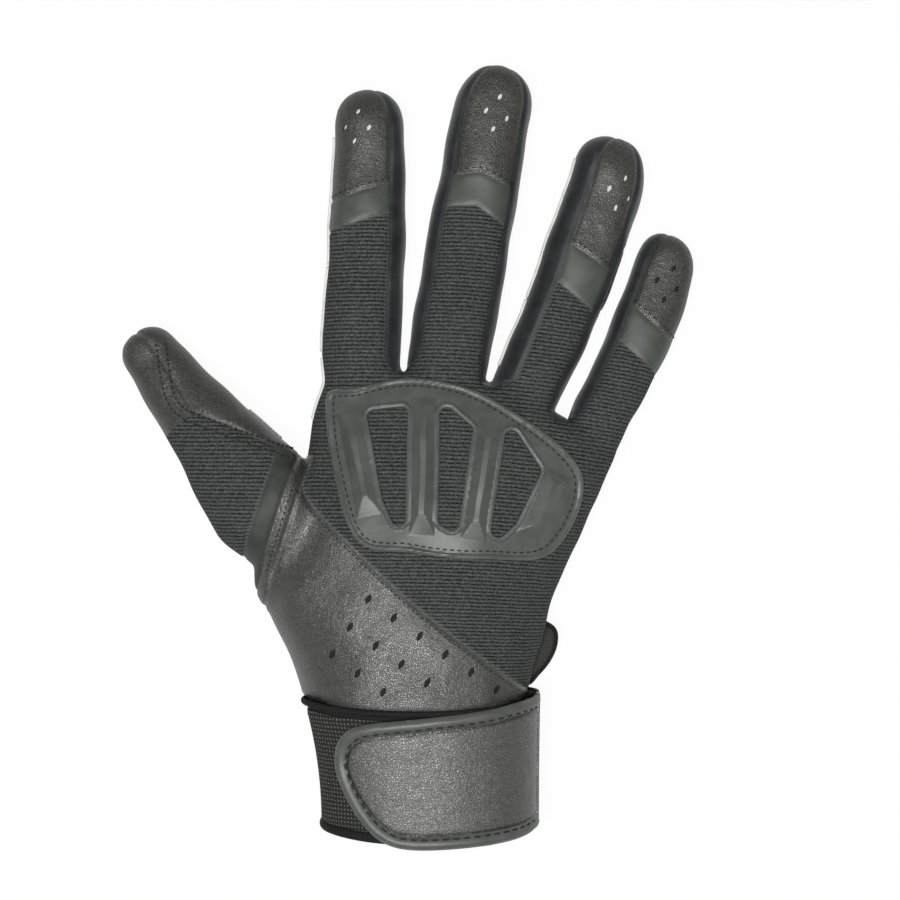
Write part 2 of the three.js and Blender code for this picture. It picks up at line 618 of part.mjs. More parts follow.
const thumbGroup = stallGroup(THUMB);
const thumbPanel = (part, right, left, start, end, rows, columns, material) => stallPanel(THUMB, {
  name: `thumb_${part}`, right, left, start, end, rows, columns, material, parent: thumbGroup,
});
const [innerSeam, outerSeam] = [wholeTurn(THUMB.palmSeams.right - 360), wholeTurn(THUMB.palmSeams.left)];
const palmSide = [outerSeam, wholeTurn(THUMB.palmSeams.right)];
const thumbFold = fromFold(SEAM_GAP / 2, true);
const bandLow = fromFold(THUMB_BAND_WIDTH - SEAM_GAP / 2, false);
const bandHigh = fromFold(THUMB_BAND_WIDTH + SEAM_GAP / 2, false);
const [tipLow, tipHigh] = [across(THUMB.midJoint, -1), across(THUMB.midJoint, 1)];
const thumbTip = tipOf(THUMB);
thumbPanel("flex_band", overlayEdge, outerSeam, thumbFold, bandLow, 2, 8, RUBBER);
thumbPanel("back_knit", overlayEdge, outerSeam, bandHigh, tipLow, 4, 8, KNIT);
thumbPanel("overlay_lower", innerSeam, overlayEdge, thumbFold, tipLow, 5, 5, LEATHER);
thumbPanel("front_lower", ...palmSide, thumbFold, tipLow, 5, 8, PALM_LEATHER);
thumbPanel("tip_back", overlayEdge, outerSeam, tipHigh, thumbTip, 7, 5, LEATHER);
thumbPanel("overlay_upper", innerSeam, overlayEdge, tipHigh, thumbTip, 7, 4, LEATHER);
thumbPanel("front_upper", ...palmSide, tipHigh, thumbTip, 7, 8, PALM_LEATHER);

// Cuff and strap: skins round the wrist at an offset from the cuff band's outer face
function wristPoint(angle, y, offset) {
  const down = Math.min(1, (CUFF.top.y - y) / (CUFF.top.y - CUFF.bottom.y));
  const t = 1 - (1 - down) ** 2;
  const [left, right] = [mix(CUFF.top.left, CUFF.bottom.left, t), mix(CUFF.top.right, CUFF.bottom.right, t)];
  const dip = CUFF.dip * Math.max(0, Math.sin(angle)) ** 2;
  return new THREE.Vector3(
    (left + right) / 2 + ((right - left) / 2 + offset) * power(Math.cos(angle), 2 / BACK_ROUNDNESS),
    y - dip,
    CUFF.floor + CUFF.height / 2 + (CUFF.height / 2 + offset) * power(Math.sin(angle), 2 / BACK_ROUNDNESS),
  );
}

function wristSheet({ from, to, top, bottom, low, high, rows, columns = 2 }) {
  const face = (offset) => (u, v) => {
    const degrees = mix(from, to, u);
    const y = mix(bottom(degrees), top(degrees), v);
    return wristPoint(rad(degrees), y, offset(degrees));
  };
  return sheet(rows, columns, face(high), face(low));
}

const level = (value) => () => value;
const wholeCuff = { from: CUFF.from, to: CUFF.to, rows: 32 };
const bindingTop = CUFF.top.y - BINDING.width;
add("cuff_band", wristSheet({
  ...wholeCuff, top: level(CUFF.top.y - SEAM_GAP - CUFF.topStep), bottom: level(CUFF.bottom.y),
  low: level(-CUFF.wall), high: level(0),
}), WEB_BLACK);
add("cuff_top_binding", wristSheet({
  ...wholeCuff, top: level(CUFF.top.y), bottom: level(bindingTop), columns: 1,
  low: level(RIDE_GAP), high: level(RIDE_GAP + BINDING.proud),
}), WEB_BLACK);
add("cuff_bottom_binding", wristSheet({
  ...wholeCuff, columns: 1,
  top: level(CUFF.bottom.y - SEAM_GAP), bottom: level(CUFF.bottom.y - BINDING.width),
  low: level(-CUFF.wall), high: level(BINDING.proud),
}), WEB_BLACK);
const loopTop = RIDE_GAP + LOOP_PATCH.thickness;
add("cuff_loop_patch", wristSheet({
  from: LOOP_PATCH.from, to: LOOP_PATCH.to, rows: 16,
  top: level(bindingTop - SEAM_GAP), bottom: level(CUFF.bottom.y), low: level(RIDE_GAP), high: level(loopTop),
}), WEB_BLACK);

const hookTop = loopTop + RIDE_GAP + HOOK_PATCH.thickness;
const strapLow = hookTop + RIDE_GAP;
const strapHigh = strapLow + STRAP.thickness;
const strapRun = (degrees) => (degrees - STRAP.from) / (STRAP.to - STRAP.from);
const strapTop = (degrees) => CUFF.top.y + STRAP.rise - STRAP.slant * strapRun(degrees);
const strapBottom = (degrees) => strapTop(degrees) - mix(STRAP.width, STRAP.endWidth, strapRun(degrees));
const arcPerDegree = rad(1) * CUFF.height / 2 * CUFF.backArc;

// The strap slants to its free end, whose edges draw in over the last stretch, less inside an inner margin.
function strapSheet({ margin, low, high, from = STRAP.from + SEAM_GAP }) {
  const endAngle = STRAP.to - margin / arcPerDegree;
  const drawIn = (degrees, cornerRadius) => {
    const radius = cornerRadius - margin / 2;
    const past = Math.max(0, degrees - endAngle + radius / arcPerDegree) * arcPerDegree;
    return margin + radius - Math.sqrt(Math.max(0, radius ** 2 - Math.min(past, radius) ** 2));
  };
  return wristSheet({
    from, to: endAngle, rows: 20, low: level(low), high: level(high),
    top: (degrees) => strapTop(degrees) - drawIn(degrees, STRAP.topRadius),
    bottom: (degrees) => strapBottom(degrees) + drawIn(degrees, STRAP.bottomRadius),
  });
}

const strapWhole = toSolid(strapSheet({ margin: 0, low: strapLow, high: strapHigh }));
const rimCut = toSolid(strapSheet({
  margin: STRAP.rim - SEAM_GAP, from: STRAP.from - CUT_PAST / 2,
  low: strapLow - CUT_PAST, high: strapHigh + CUT_PAST,
}));
add("strap_binding", toGeometry(strapWhole.subtract(rimCut)), RUBBER);
const leatherHigh = strapHigh - STRAP.rimStep;
add("strap_leather", strapSheet({ margin: STRAP.rim, low: strapLow, high: leatherHigh }), LEATHER);
add("strap_hook_patch", strapSheet({
  margin: HOOK_PATCH.margin, from: HOOK_PATCH.from, low: loopTop + RIDE_GAP, high: hookTop,
}), WEB_BLACK);

// The strap's sewn end lies on the palm side of the cuff and rises to meet the strap.
const anchorLow = BINDING.proud + RIDE_GAP;
const rise = (degrees) => THREE.MathUtils.smoothstep(degrees, STRAP.anchorFrom - 360, STRAP.from);
add("strap_anchor", wristSheet({
  from: STRAP.anchorFrom - 360, to: STRAP.from - SEAM_GAP, rows: 12,
  top: (degrees) => mix(bindingTop - STRAP.anchorDrop, strapTop(STRAP.from), rise(degrees)),
  bottom: level(strapBottom(STRAP.from)),
  low: (degrees) => mix(anchorLow, strapLow, rise(degrees)),
  high: (degrees) => mix(anchorLow + STRAP.anchorThickness, strapHigh, rise(degrees)),
}), LEATHER);

export default glove;
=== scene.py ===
# %% [markdown]
# # A batting glove, sewn from panels
# A batting glove is cut flat and sewn: a leather palm, a ribbed knit back, black side strips
# between the fingers, smooth film bands where the fingers bend, a moulded guard over the
# knuckles and a leather wrist strap. This script works as the maker does. It shapes the
# stretched skin of the hand once, cuts it along the seams, and gives every panel its own
# thickness, rolled edges, finish and thread.

import bpy
import numpy as np
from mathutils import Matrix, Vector
from mathutils.bvhtree import BVHTree
from mathutils.kdtree import KDTree


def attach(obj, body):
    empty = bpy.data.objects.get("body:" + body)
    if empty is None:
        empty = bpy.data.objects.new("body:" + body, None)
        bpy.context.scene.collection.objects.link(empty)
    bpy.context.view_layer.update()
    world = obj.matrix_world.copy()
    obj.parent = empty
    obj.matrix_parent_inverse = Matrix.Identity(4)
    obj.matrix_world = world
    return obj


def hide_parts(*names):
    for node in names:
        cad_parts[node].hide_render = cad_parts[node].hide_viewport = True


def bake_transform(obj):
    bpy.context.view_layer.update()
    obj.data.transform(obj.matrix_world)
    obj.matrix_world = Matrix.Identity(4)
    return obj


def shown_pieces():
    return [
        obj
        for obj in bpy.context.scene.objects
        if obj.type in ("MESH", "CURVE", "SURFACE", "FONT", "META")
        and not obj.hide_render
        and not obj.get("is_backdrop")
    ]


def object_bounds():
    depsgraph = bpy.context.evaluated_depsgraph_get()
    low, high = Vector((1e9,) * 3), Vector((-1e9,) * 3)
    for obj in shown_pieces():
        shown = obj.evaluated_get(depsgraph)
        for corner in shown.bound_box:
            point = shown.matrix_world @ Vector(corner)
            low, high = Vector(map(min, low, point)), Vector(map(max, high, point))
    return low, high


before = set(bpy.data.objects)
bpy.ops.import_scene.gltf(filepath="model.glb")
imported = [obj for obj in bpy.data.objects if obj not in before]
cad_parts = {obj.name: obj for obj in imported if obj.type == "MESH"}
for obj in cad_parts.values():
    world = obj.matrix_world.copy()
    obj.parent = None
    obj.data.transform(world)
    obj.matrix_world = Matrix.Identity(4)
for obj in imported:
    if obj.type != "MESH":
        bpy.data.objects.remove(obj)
cad_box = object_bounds()
scene = bpy.context.scene
MM = 0.001

# %% [markdown]
# ## The glove's sizes
# Every size here is a real one in millimetres, the same as in the part's own source, because a
# panel has to lie where the solid that it stands for lies. X runs to the little finger, Y to the
# fingertips and Z out of the back of the hand. An angle round a finger is 0 on its right side and
# 90 on its back. A stall is the tube of a finger or thumb; its fold is where it leaves the hand.

# %% Sizes of the hand and its stalls
SIDE_SEAM_Z = 13
BACK_ROUNDNESS, PALM_ROUNDNESS, STALL_ROUNDNESS, TIP_ROUNDNESS = 2.25, 3.6, 2.35, 2.5
PALM_FLAT_CUT = 0.5
STALL_FLOOR = 1.2
HINGE_Z = 2.4
HAND_STATIONS = [
    # left x, left y, right x, right y, bow of the middle, height of the back
    (-39.8, -54, 26.2, -54, 0, 40.2),
    (-40.8, -41, 26.6, -41, 0, 40.2),
    (-46.2, -26, 29.6, -26, 0, 38.5),
    (-52.4, -13, 33.8, -12, 0, 37),
    (-51.6, -3, 38.8, 1, 0, 36),
    (-46.4, 12, 44.8, 13, 1, 34.5),
    (-41.6, 24, 49.2, 24, 3, 32.5),
    (-38.4, 40, 52.6, 31, 6, 28.5),
    (-36.2, 50, 52.4, 34, 9, 24),
    (-34.6, 54.4, 49.6, 35.4, 9.6, 19),
]
FINGERS = {
    "index": dict(
        fold=(-23.8, 61.5), lean=1.9, length=80.8, bow=0.4, joint=27, dome=14,
        width=(23.2, 22.8, 21.2), height=(22, 17), back=(56, 175), palm=(175, 342),
        low=(44.4, 37.2, 0), high=(53.5, 46.2, 0),
        holes=[(-3.3, 73.3), (-7.2, 68.4), (0.2, 68.3), (-4.2, 64.2)],
    ),
    "middle": dict(
        fold=(2.5, 61.5), lean=10.2, length=89, bow=0, joint=29, dome=15,
        width=(24.4, 24.6, 23.2), height=(22.5, 17.5), back=(40, 132), palm=(195, 345),
        low=(40.1, 42.9, 4.2), high=(52, 52.1, 3.6),
        holes=[(1.5, 79.1), (-1.9, 74.2), (4.8, 73), (1.2, 69)],
    ),
    "ring": dict(
        fold=(27.3, 54), lean=20, length=78.4, bow=2, joint=23, dome=14,
        width=(20.8, 22.9, 22), height=(21.5, 17), back=(40, 111), palm=(184, 345),
        low=(25, 32.8, 0), high=(38.4, 44.1, 0),
        holes=[(6.1, 66.8), (2.4, 62), (9.2, 61.4), (6.3, 57.3)],
    ),
    "little": dict(
        fold=(49.1, 45), lean=22, length=57.2, bow=2.4, joint=15, dome=12,
        width=(17.7, 18.9, 18.2), height=(20, 15.5), back=(4, 126), palm=(195, 364),
        low=(16.2, 22.4, 0), high=(27.1, 33.8, 0),
        holes=[(3.7, 47.5), (0.3, 42.3), (6.8, 42.1), (4.4, 37.6)],
    ),
}
THUMB = dict(
    fold=(-52.6, 17.4), lean=-38.6, length=65, bow=0, joint=34, dome=9.5,
    width=(34.4, 24.6, 17), height=(30, 15), palm=(186, 338),
)
FINGER_ROOT, THUMB_ROOT, ROOT_SINK = 30, 24, 0.3
THUMB_FOLD = np.array([(-42.3, 31.5), (-55.4, -9)])
THUMB_FOLD_TAIL = 2
CUFF_TOP_Y, CUFF_DIP = -40.4, 2.2
print("stalls:", ", ".join(FINGERS), "and thumb")

# %% [markdown]
# ## The stretched skin
# A knit back has no hard edge where the fingers leave the hand, so the hand can't be one loft.
# Each tube is lofted by itself: rounded sections through the hand, and a tapering tube with a
# dome for each stall. A voxel remesh then fuses them into one closed skin, and a few rounds of
# smoothing that only fill hollows, as stretched cloth does, turn the joins into soft valleys.


# %% Sections and lofts
STALL_ROWS, DOME_ROWS, STALL_TURN = 40, 16, 7.5
HAND_ROWS, HAND_TURN = 46, 5


def signed_power(value, exponent):
    return np.sign(value) * np.abs(value) ** exponent


def mix(a, b, t):
    return a + (b - a) * t


def smoothstep(value, low, high):
    t = np.clip((value - low) / (high - low), 0, 1)
    return t * t * (3 - 2 * t)


def through(rows, steps):
    """A smooth run of rows through the given rows."""
    rows = np.asarray(rows, float)
    padded = np.vstack([2 * rows[0] - rows[1], rows, 2 * rows[-1] - rows[-2]])
    place = np.linspace(0, len(rows) - 1, steps)
    first = np.minimum(place.astype(int), len(rows) - 2)
    t = (place - first)[:, None]
    a, b, c, d = (padded[first + k] for k in range(4))
    return b + 0.5 * t * (c - a + t * (2 * a - 5 * b + 4 * c - d + t * (3 * b - a - 3 * c + d)))


def stall_size(stall, along):
    """Half width, half height and the dome's share of them at places along a stall."""
    base, middle, tip = stall["width"]
    start = stall["length"] - stall["dome"]
    t = np.clip(along / start, 0, 1)
    width = np.where(t < 0.5, mix(base, middle, 2 * t), mix(middle, tip, 2 * t - 1))
    u = np.clip((along - start) / stall["dome"], 0, 1)
    dome = np.maximum(1 - u**TIP_ROUNDNESS, 0) ** (1 / TIP_ROUNDNESS)
    return width / 2, mix(*stall["height"], t) / 2, dome


def stall_bow(stall, along):
    t = along / stall["length"]
    return stall["bow"] * 4 * np.maximum(0, t) * (1 - t)


def lean_of(stall):
    turn = np.radians(stall["lean"])
    return np.sin(turn), np.cos(turn)


def to_glove(stall, sideways, along):
    """Plan X and Y of a place in a stall's own frame."""
    sine, cosine = lean_of(stall)
    x = stall["fold"][0] + sideways * cosine + along * sine
    return x, stall["fold"][1] - sideways * sine + along * cosine


def stall_point(stall, along, angle):
    """Points of a stall's skin at places along it and angles round it, in degrees."""
    a, b, dome = stall_size(stall, along)
    cosine, sine = np.cos(np.radians(angle)), np.sin(np.radians(angle))
    sideways = a * dome * signed_power(cosine, 2 / STALL_ROUNDNESS) + stall_bow(stall, along)
    x, y = to_glove(stall, sideways, along)
    z = STALL_FLOOR + b + b * dome * signed_power(sine, 2 / STALL_ROUNDNESS)
    return np.stack(np.broadcast_arrays(x, y, z), -1)


def stall_rings(stall, root):
    """Rings of a whole stall from its root inside the hand to its tip."""
    start = stall["length"] - stall["dome"]
    straight = np.linspace(-root, start, STALL_ROWS)
    domed = start + stall["dome"] * np.sin(np.linspace(0, np.pi / 2, DOME_ROWS))[1:-1]
    rings = []
    for along in np.concatenate([straight, domed]):
        ring = stall_point(stall, along, np.arange(0, 360, STALL_TURN))
        sink = smoothstep(-along, 0, root) * ROOT_SINK
        centre = np.array([*to_glove(stall, stall_bow(stall, along), along), SIDE_SEAM_Z])
        rings.append(mix(ring, centre, sink))
    return rings


def hand_rings():
    """Rings of the hand, each bowed in plan and flat where the palm rests."""
    angle = np.radians(np.arange(0, 360, HAND_TURN))
    rings = []
    for left_x, left_y, right_x, right_y, bow, top in through(HAND_STATIONS, HAND_ROWS):
        upper = np.sin(angle) >= 0
        exponent = 2 / np.where(upper, BACK_ROUNDNESS, PALM_ROUNDNESS)
        t = (1 + signed_power(np.cos(angle), exponent)) / 2
        y = mix(left_y, right_y, t) + 4 * bow * t * (1 - t)
        rise = np.where(upper, top - SIDE_SEAM_Z, SIDE_SEAM_Z + PALM_FLAT_CUT)
        z = SIDE_SEAM_Z + rise * signed_power(np.sin(angle), exponent)
        rings.append(np.stack([mix(left_x, right_x, t), y, np.maximum(z, 0)], 1))
    return rings


def loft(rings):
    """Points and triangles of a closed tube through the rings, facing outwards."""
    count, rows = len(rings[0]), len(rings)
    points = np.concatenate([*rings, rings[0].mean(0)[None], rings[-1].mean(0)[None]])
    i = np.arange(count)
    after = (i + 1) % count
    faces = []
    for row in range(rows - 1):
        low, high = row * count, (row + 1) * count
        faces += [np.stack([low + i, high + i, low + after], 1)]
        faces += [np.stack([low + after, high + i, high + after], 1)]
    first, last = rows * count, (rows - 1) * count
    faces += [np.stack([np.full(count, first), i, after], 1)]
    faces += [np.stack([np.full(count, first + 1), last + after, last + i], 1)]
    faces = np.concatenate(faces)
    corners = points[faces]
    volume = np.einsum("ij,ij->i", corners[:, 0], np.cross(corners[:, 1], corners[:, 2])).sum()
    return points, faces if volume > 0 else faces[:, ::-1]


# %% [markdown]
# ### Fusing and easing
# The pads fill the webs between the fingers before the tubes are fused. A slow wave on the eased
# skin keeps it from looking tight, and fades out where the palm rests on the table.

# %% Fuse the tubes and ease the valleys
VOXEL = 0.85
VALLEY_ROUNDS, VALLEY_FILL, RIDGE_EASE = 70, 0.5, 0.1
STEEP, LEVEL = 0.35, 0.7
SMOOTH_ROUNDS, SMOOTH_SHARE = 4, 0.4
FORM_SWELL, SOFT_RISE, SOFT_WAVES, SOFT_LENGTHS, SOFT_SEED = 0.35, 0.1, 9, (11, 34), 4
SOFT_WAY, REST_FROM, REST_TO = (1, 1, 0.4), 0.5, 5
PAD_ROWS, PAD_TURN, POLE = 13, 15, 80
PADS = [
    # centre and radii of the webs between the fingers and of the thumb's root
    ((-15.2, 55, 12.5), (4, 4.6, 8.5)),
    ((13, 49, 12), (4, 4.6, 8)),
    ((33.4, 39.6, 11.5), (4, 4.6, 8)),
    ((-46.5, -5.5, 15), (9.6, 12, 10)),
]


def linked(name, data):
    """An object in the scene that holds some data."""
    made = bpy.data.objects.new(name, data)
    scene.collection.objects.link(made)
    return made


def evaluated_mesh(maker):
    """The mesh that an object's modifiers make. The object itself is removed."""
    mesh = bpy.data.meshes.new_from_object(maker.evaluated_get(bpy.context.evaluated_depsgraph_get()))
    bpy.data.objects.remove(maker)
    return mesh


def read_rows(items, field, width, kind):
    """A field of a mesh's items as rows of numbers."""
    numbers = np.zeros(len(items) * width, kind)
    items.foreach_get(field, numbers)
    return numbers.reshape(-1, width).astype(float if kind == np.float32 else np.int64)


def fused(tubes):
    """Points, edges and triangles of the union of closed tubes."""
    points = np.concatenate([tube[0] for tube in tubes])
    starts = np.cumsum([0] + [len(tube[0]) for tube in tubes])
    faces = np.concatenate([tube[1] + start for tube, start in zip(tubes, starts)])
    mesh = bpy.data.meshes.new("tubes")
    mesh.from_pydata(points.tolist(), [], faces.tolist())
    tube_object = linked("tubes", mesh)
    remesh = tube_object.modifiers.new("union", "REMESH")
    remesh.mode = "VOXEL"
    remesh.voxel_size = VOXEL
    skin = evaluated_mesh(tube_object)
    skin.calc_loop_triangles()
    at = read_rows(skin.vertices, "co", 3, np.float32)
    edges = read_rows(skin.edges, "vertices", 2, np.int32)
    triangles = read_rows(skin.loop_triangles, "vertices", 3, np.int32)
    bpy.data.meshes.remove(skin)
    return at, edges, triangles


def gathered(index, values, count):
    """Sum of the rows of values that share an index."""
    return np.stack([np.bincount(index, values[:, k], count) for k in range(3)], 1)


def outward(at, faces):
    """The outward direction at each point."""
    a, b, c = (at[faces[:, k]] for k in range(3))
    normal = np.cross(b - a, c - a)
    total = sum(gathered(faces[:, k], normal, len(at)) for k in range(3))
    return total / np.maximum(np.linalg.norm(total, axis=1, keepdims=True), 1e-12)


def neighbour_mean(at, edges):
    a, b = edges.T
    total = gathered(a, at[b], len(at)) + gathered(b, at[a], len(at))
    degree = np.bincount(edges.ravel(), minlength=len(at))
    return total / degree[:, None]


def eased(at, edges, faces):
    """Fills the valleys on the back and palm, and leaves the slits between fingers open."""
    for _ in range(VALLEY_ROUNDS):
        out = outward(at, faces)
        pull = neighbour_mean(at, edges) - at
        fills = np.einsum("ij,ij->i", pull, out) > 0
        level = smoothstep(np.abs(out[:, 2]), STEEP, LEVEL)
        at = at + pull * np.where(fills, VALLEY_FILL * level, RIDGE_EASE)[:, None]
    for _ in range(SMOOTH_ROUNDS):
        at = mix(at, neighbour_mean(at, edges), SMOOTH_SHARE)
    return at


def pad_rings(centre, radii):
    """Rings of a rounded pad."""
    around = np.radians(np.arange(0, 360, PAD_TURN))
    circle = np.stack([np.cos(around), np.sin(around), np.zeros(len(around))], 1)
    rings = []
    for turn in np.radians(np.linspace(-POLE, POLE, PAD_ROWS)):
        rings.append(np.array(centre) + (circle * np.cos(turn) + (0, 0, np.sin(turn))) * radii)
    return rings


def softened(at, out):
    """The small swells of cloth that is filled but not tight; the palm stays flat where it rests."""
    chance = np.random.default_rng(SOFT_SEED)
    swell = np.full(len(at), FORM_SWELL)
    for _ in range(SOFT_WAVES):
        way = chance.normal(size=3) * SOFT_WAY
        way *= 2 * np.pi / chance.uniform(*SOFT_LENGTHS) / np.linalg.norm(way)
        swell += SOFT_RISE * np.sin(at @ way + chance.uniform(0, 2 * np.pi))
    return at + out * (swell * smoothstep(at[:, 2], REST_FROM, REST_TO))[:, None]


tubes = [loft(hand_rings()), loft(stall_rings(THUMB, THUMB_ROOT))]
tubes += [loft(stall_rings(finger, FINGER_ROOT)) for finger in FINGERS.values()]
tubes += [loft(pad_rings(*pad)) for pad in PADS]
form_at, form_edges, form_faces = fused(tubes)
form_at = eased(form_at, form_edges, form_faces)
form_at = softened(form_at, outward(form_at, form_faces))
print("skin:", len(form_at), "points,", len(form_faces), "triangles")

# %% [markdown]
# ## Cutting the panels
# A panel is the part of the skin between its seams. A seam is written as a field: a number at
# every point, positive on one side and negative on the other. Cutting along the field's zero
# line splits the triangles that it crosses, so that a seam is a clean line however coarse the
# mesh is. Painting seams on one surface would be quicker, but real panels have edges.


# %% A piece of cloth that can be cut
SNAP, WELD_DIGITS = 0.05, 4


def edge_keys(ends, count):
    """One number for each pair of points, the same whichever point comes first."""
    return ends.min(-1) * count + ends.max(-1)


class Cloth:
    """Triangles with a point and an outward direction at each corner."""

    def __init__(self, at, out, faces):
        self.at, self.out, self.faces = at, out, faces

    def keep(self, chosen):
        used, faces = np.unique(self.faces[chosen], return_inverse=True)
        return Cloth(self.at[used], self.out[used], faces.reshape(-1, 3))

    def split_edges(self, share_of):
        """Splits each edge at a share of its length, and leaves it whole where the share is nan."""
        faces, count = self.faces, len(self.at)
        ends = np.stack([faces, np.roll(faces, -1, 1)], 2)
        keys, place = np.unique(edge_keys(ends, count), return_inverse=True)
        a, b = keys // count, keys % count
        share = share_of(a, b)
        cut = ~np.isnan(share)
        added = np.full(len(keys), -1)
        added[cut] = count + np.arange(cut.sum())
        t = share[cut][:, None]
        at = np.concatenate([self.at, mix(self.at[a[cut]], self.at[b[cut]], t)])
        out = mix(self.out[a[cut]], self.out[b[cut]], t)
        out = np.concatenate([self.out, out / np.linalg.norm(out, axis=1, keepdims=True)])
        middle = added[place].reshape(-1, 3)
        split = (middle >= 0).sum(1)
        made = [faces[split == 0]]
        rows = np.flatnonzero(split == 1)
        (p, q, r), (m, _, _) = turned(faces[rows], middle[rows], (middle[rows] >= 0).argmax(1))
        made += [np.stack([p, m, r], 1), np.stack([m, q, r], 1)]
        rows = np.flatnonzero(split == 2)
        (p, q, r), (_, m, n) = turned(faces[rows], middle[rows], (middle[rows] < 0).argmax(1))
        made += [np.stack([r, n, m], 1), np.stack([n, p, m], 1), np.stack([p, q, m], 1)]
        rows = np.flatnonzero(split == 3)
        (p, q, r), (l, m, n) = faces[rows].T, middle[rows].T
        made += [np.stack(part, 1) for part in ((p, l, n), (l, q, m), (n, m, r), (l, m, n))]
        return Cloth(at, out, np.concatenate(made))

    def part(self, field):
        """Cuts along the field's zero line: the piece where it is positive, and the rest."""
        value = field(self.at)
        value = np.where(np.abs(value) < SNAP, 0, value)

        def crossing(a, b):
            apart = value[a] * value[b] < 0
            return np.where(apart, value[a] / np.where(apart, value[a] - value[b], 1), np.nan)

        cut = self.split_edges(crossing)
        value = np.concatenate([value, np.zeros(len(cut.at) - len(value))])
        positive = value[cut.faces].sum(1) > 0
        return cut.keep(positive), cut.keep(~positive)

    def refined(self, near, longest):
        """Halves the edges that are longer than longest and whose two ends are near."""

        def halving(a, b):
            long = np.linalg.norm(self.at[a] - self.at[b], axis=1) > longest
            return np.where(near[a] & near[b] & long, 0.5, np.nan)

        return self.split_edges(halving)

    def rim(self):
        """The edges that only one triangle has, in that triangle's direction."""
        faces, count = self.faces, len(self.at)
        edges = np.concatenate([faces[:, [0, 1]], faces[:, [1, 2]], faces[:, [2, 0]]])
        _, first, times = np.unique(edge_keys(edges, count), return_index=True, return_counts=True)
        return edges[first[times == 1]]


def turned(faces, middle, first):
    """Corners and edge middles of triangles, turned so that edge 'first' comes first."""
    order = (first[:, None] + np.arange(3)) % 3
    return np.take_along_axis(faces, order, 1).T, np.take_along_axis(middle, order, 1).T


def joined(*cloths):
    """Pieces sewn back into one where their points coincide."""
    at = np.concatenate([cloth.at for cloth in cloths])
    out = np.concatenate([cloth.out for cloth in cloths])
    starts = np.cumsum([0] + [len(cloth.at) for cloth in cloths])
    faces = np.concatenate([cloth.faces + start for cloth, start in zip(cloths, starts)])
    _, first, place = np.unique(at.round(WELD_DIGITS), axis=0, return_index=True, return_inverse=True)
    faces = place.ravel()[faces]
    whole = (faces[:, 0] != faces[:, 1]) & (faces[:, 1] != faces[:, 2]) & (faces[:, 2] != faces[:, 0])
    return Cloth(at[first], out[first], faces[whole])


# %% [markdown]
# ### Seams as fields
# A seam of a stall is written in the stall's own frame, along it and round it. A seam of the hand
# is a line or a curve in plan.

# %% Fields that seams follow
DOME_LEAST, ARC_LEAST = 0.05, 0.15


def stall_frame(stall, at):
    """Place along a stall, place across it and the angle round it, for points of the glove."""
    sine, cosine = lean_of(stall)
    x, y = at[:, 0] - stall["fold"][0], at[:, 1] - stall["fold"][1]
    along = x * sine + y * cosine
    a, b, dome = stall_size(stall, along)
    across = x * cosine - y * sine - stall_bow(stall, along)
    height = (at[:, 2] - STALL_FLOOR - b) / b
    dome = np.maximum(dome, DOME_LEAST)
    bend = STALL_ROUNDNESS / 2
    angle = np.arctan2(signed_power(height / dome, bend), signed_power(across / a / dome, bend))
    return along, across, np.degrees(angle) % 360


def above_y(level):
    return lambda at: at[:, 1] - level


def beyond(stall, level):
    """Beyond a place along a stall."""
    return lambda at: stall_frame(stall, at)[0] - level


def arc_length(stall, along, degrees):
    """Length in millimetres of an arc round a stall."""
    a, b, dome = stall_size(stall, along)
    return degrees * np.radians(1) * (a + b) / 2 * np.maximum(dome, ARC_LEAST)


def sector(stall, right, left):
    """Between two seams round a stall, in millimetres from the nearer one."""
    middle, half = (right + left) / 2, (left - right) / 2

    def field(at):
        along, _, angle = stall_frame(stall, at)
        off = np.abs((angle - middle + 180) % 360 - 180)
        return arc_length(stall, along, half - off)

    return field


def slanted(stall, right, left, peak):
    """Beyond a slanted or peaked seam across the back of a stall."""

    def field(at):
        along, across, _ = stall_frame(stall, at)
        share = np.clip(across / stall_size(stall, along)[0], -1, 1)
        return along - mix(right, left, (1 - share) / 2) - peak * (1 - np.abs(share))

    return field


def between(left, right):
    """Right of the line that parts two neighbouring fingers."""
    middle = (left["fold"][0] + right["fold"][0]) / 2 + (left["width"][0] - right["width"][0]) / 4
    level = (left["fold"][1] + right["fold"][1]) / 2
    turn = np.radians((left["lean"] + right["lean"]) / 2)
    return lambda at: (at[:, 0] - middle) * np.cos(turn) - (at[:, 1] - level) * np.sin(turn)


fold_run = THUMB_FOLD[1] - THUMB_FOLD[0]
fold_run = fold_run / np.linalg.norm(fold_run)


def thumb_side(at):
    """Outside the thumb's fold line."""
    x, y = at[:, 0] - THUMB_FOLD[0, 0], at[:, 1] - THUMB_FOLD[0, 1]
    outside = np.where(y > 0, -x, fold_run[1] * x - fold_run[0] * y)
    return np.minimum(outside, at[:, 1] - THUMB_FOLD[1, 1] + THUMB_FOLD_TAIL)


def from_segments(at, start, step, low, high):
    """Plan offsets of points from the starts of segments, and their distances from the segments."""
    off = at[:, None, :2] - start
    t = np.clip((off * step).sum(2) / (step**2).sum(1), low, high)
    return off, np.linalg.norm(off - t[:, :, None] * step, axis=2)


def side_of(curve):
    """Signed plan distance from an open curve, positive to the left of its run."""
    start, step = curve[:-1], np.diff(curve, axis=0)
    low, high = np.zeros(len(step)), np.ones(len(step))
    low[0], high[-1] = -np.inf, np.inf

    def field(at):
        off, apart = from_segments(at, start, step, low, high)
        rows, nearest = np.arange(len(at)), apart.argmin(1)
        cross = step[nearest, 0] * off[rows, nearest, 1] - step[nearest, 1] * off[rows, nearest, 0]
        return apart[rows, nearest] * np.sign(cross)

    return field


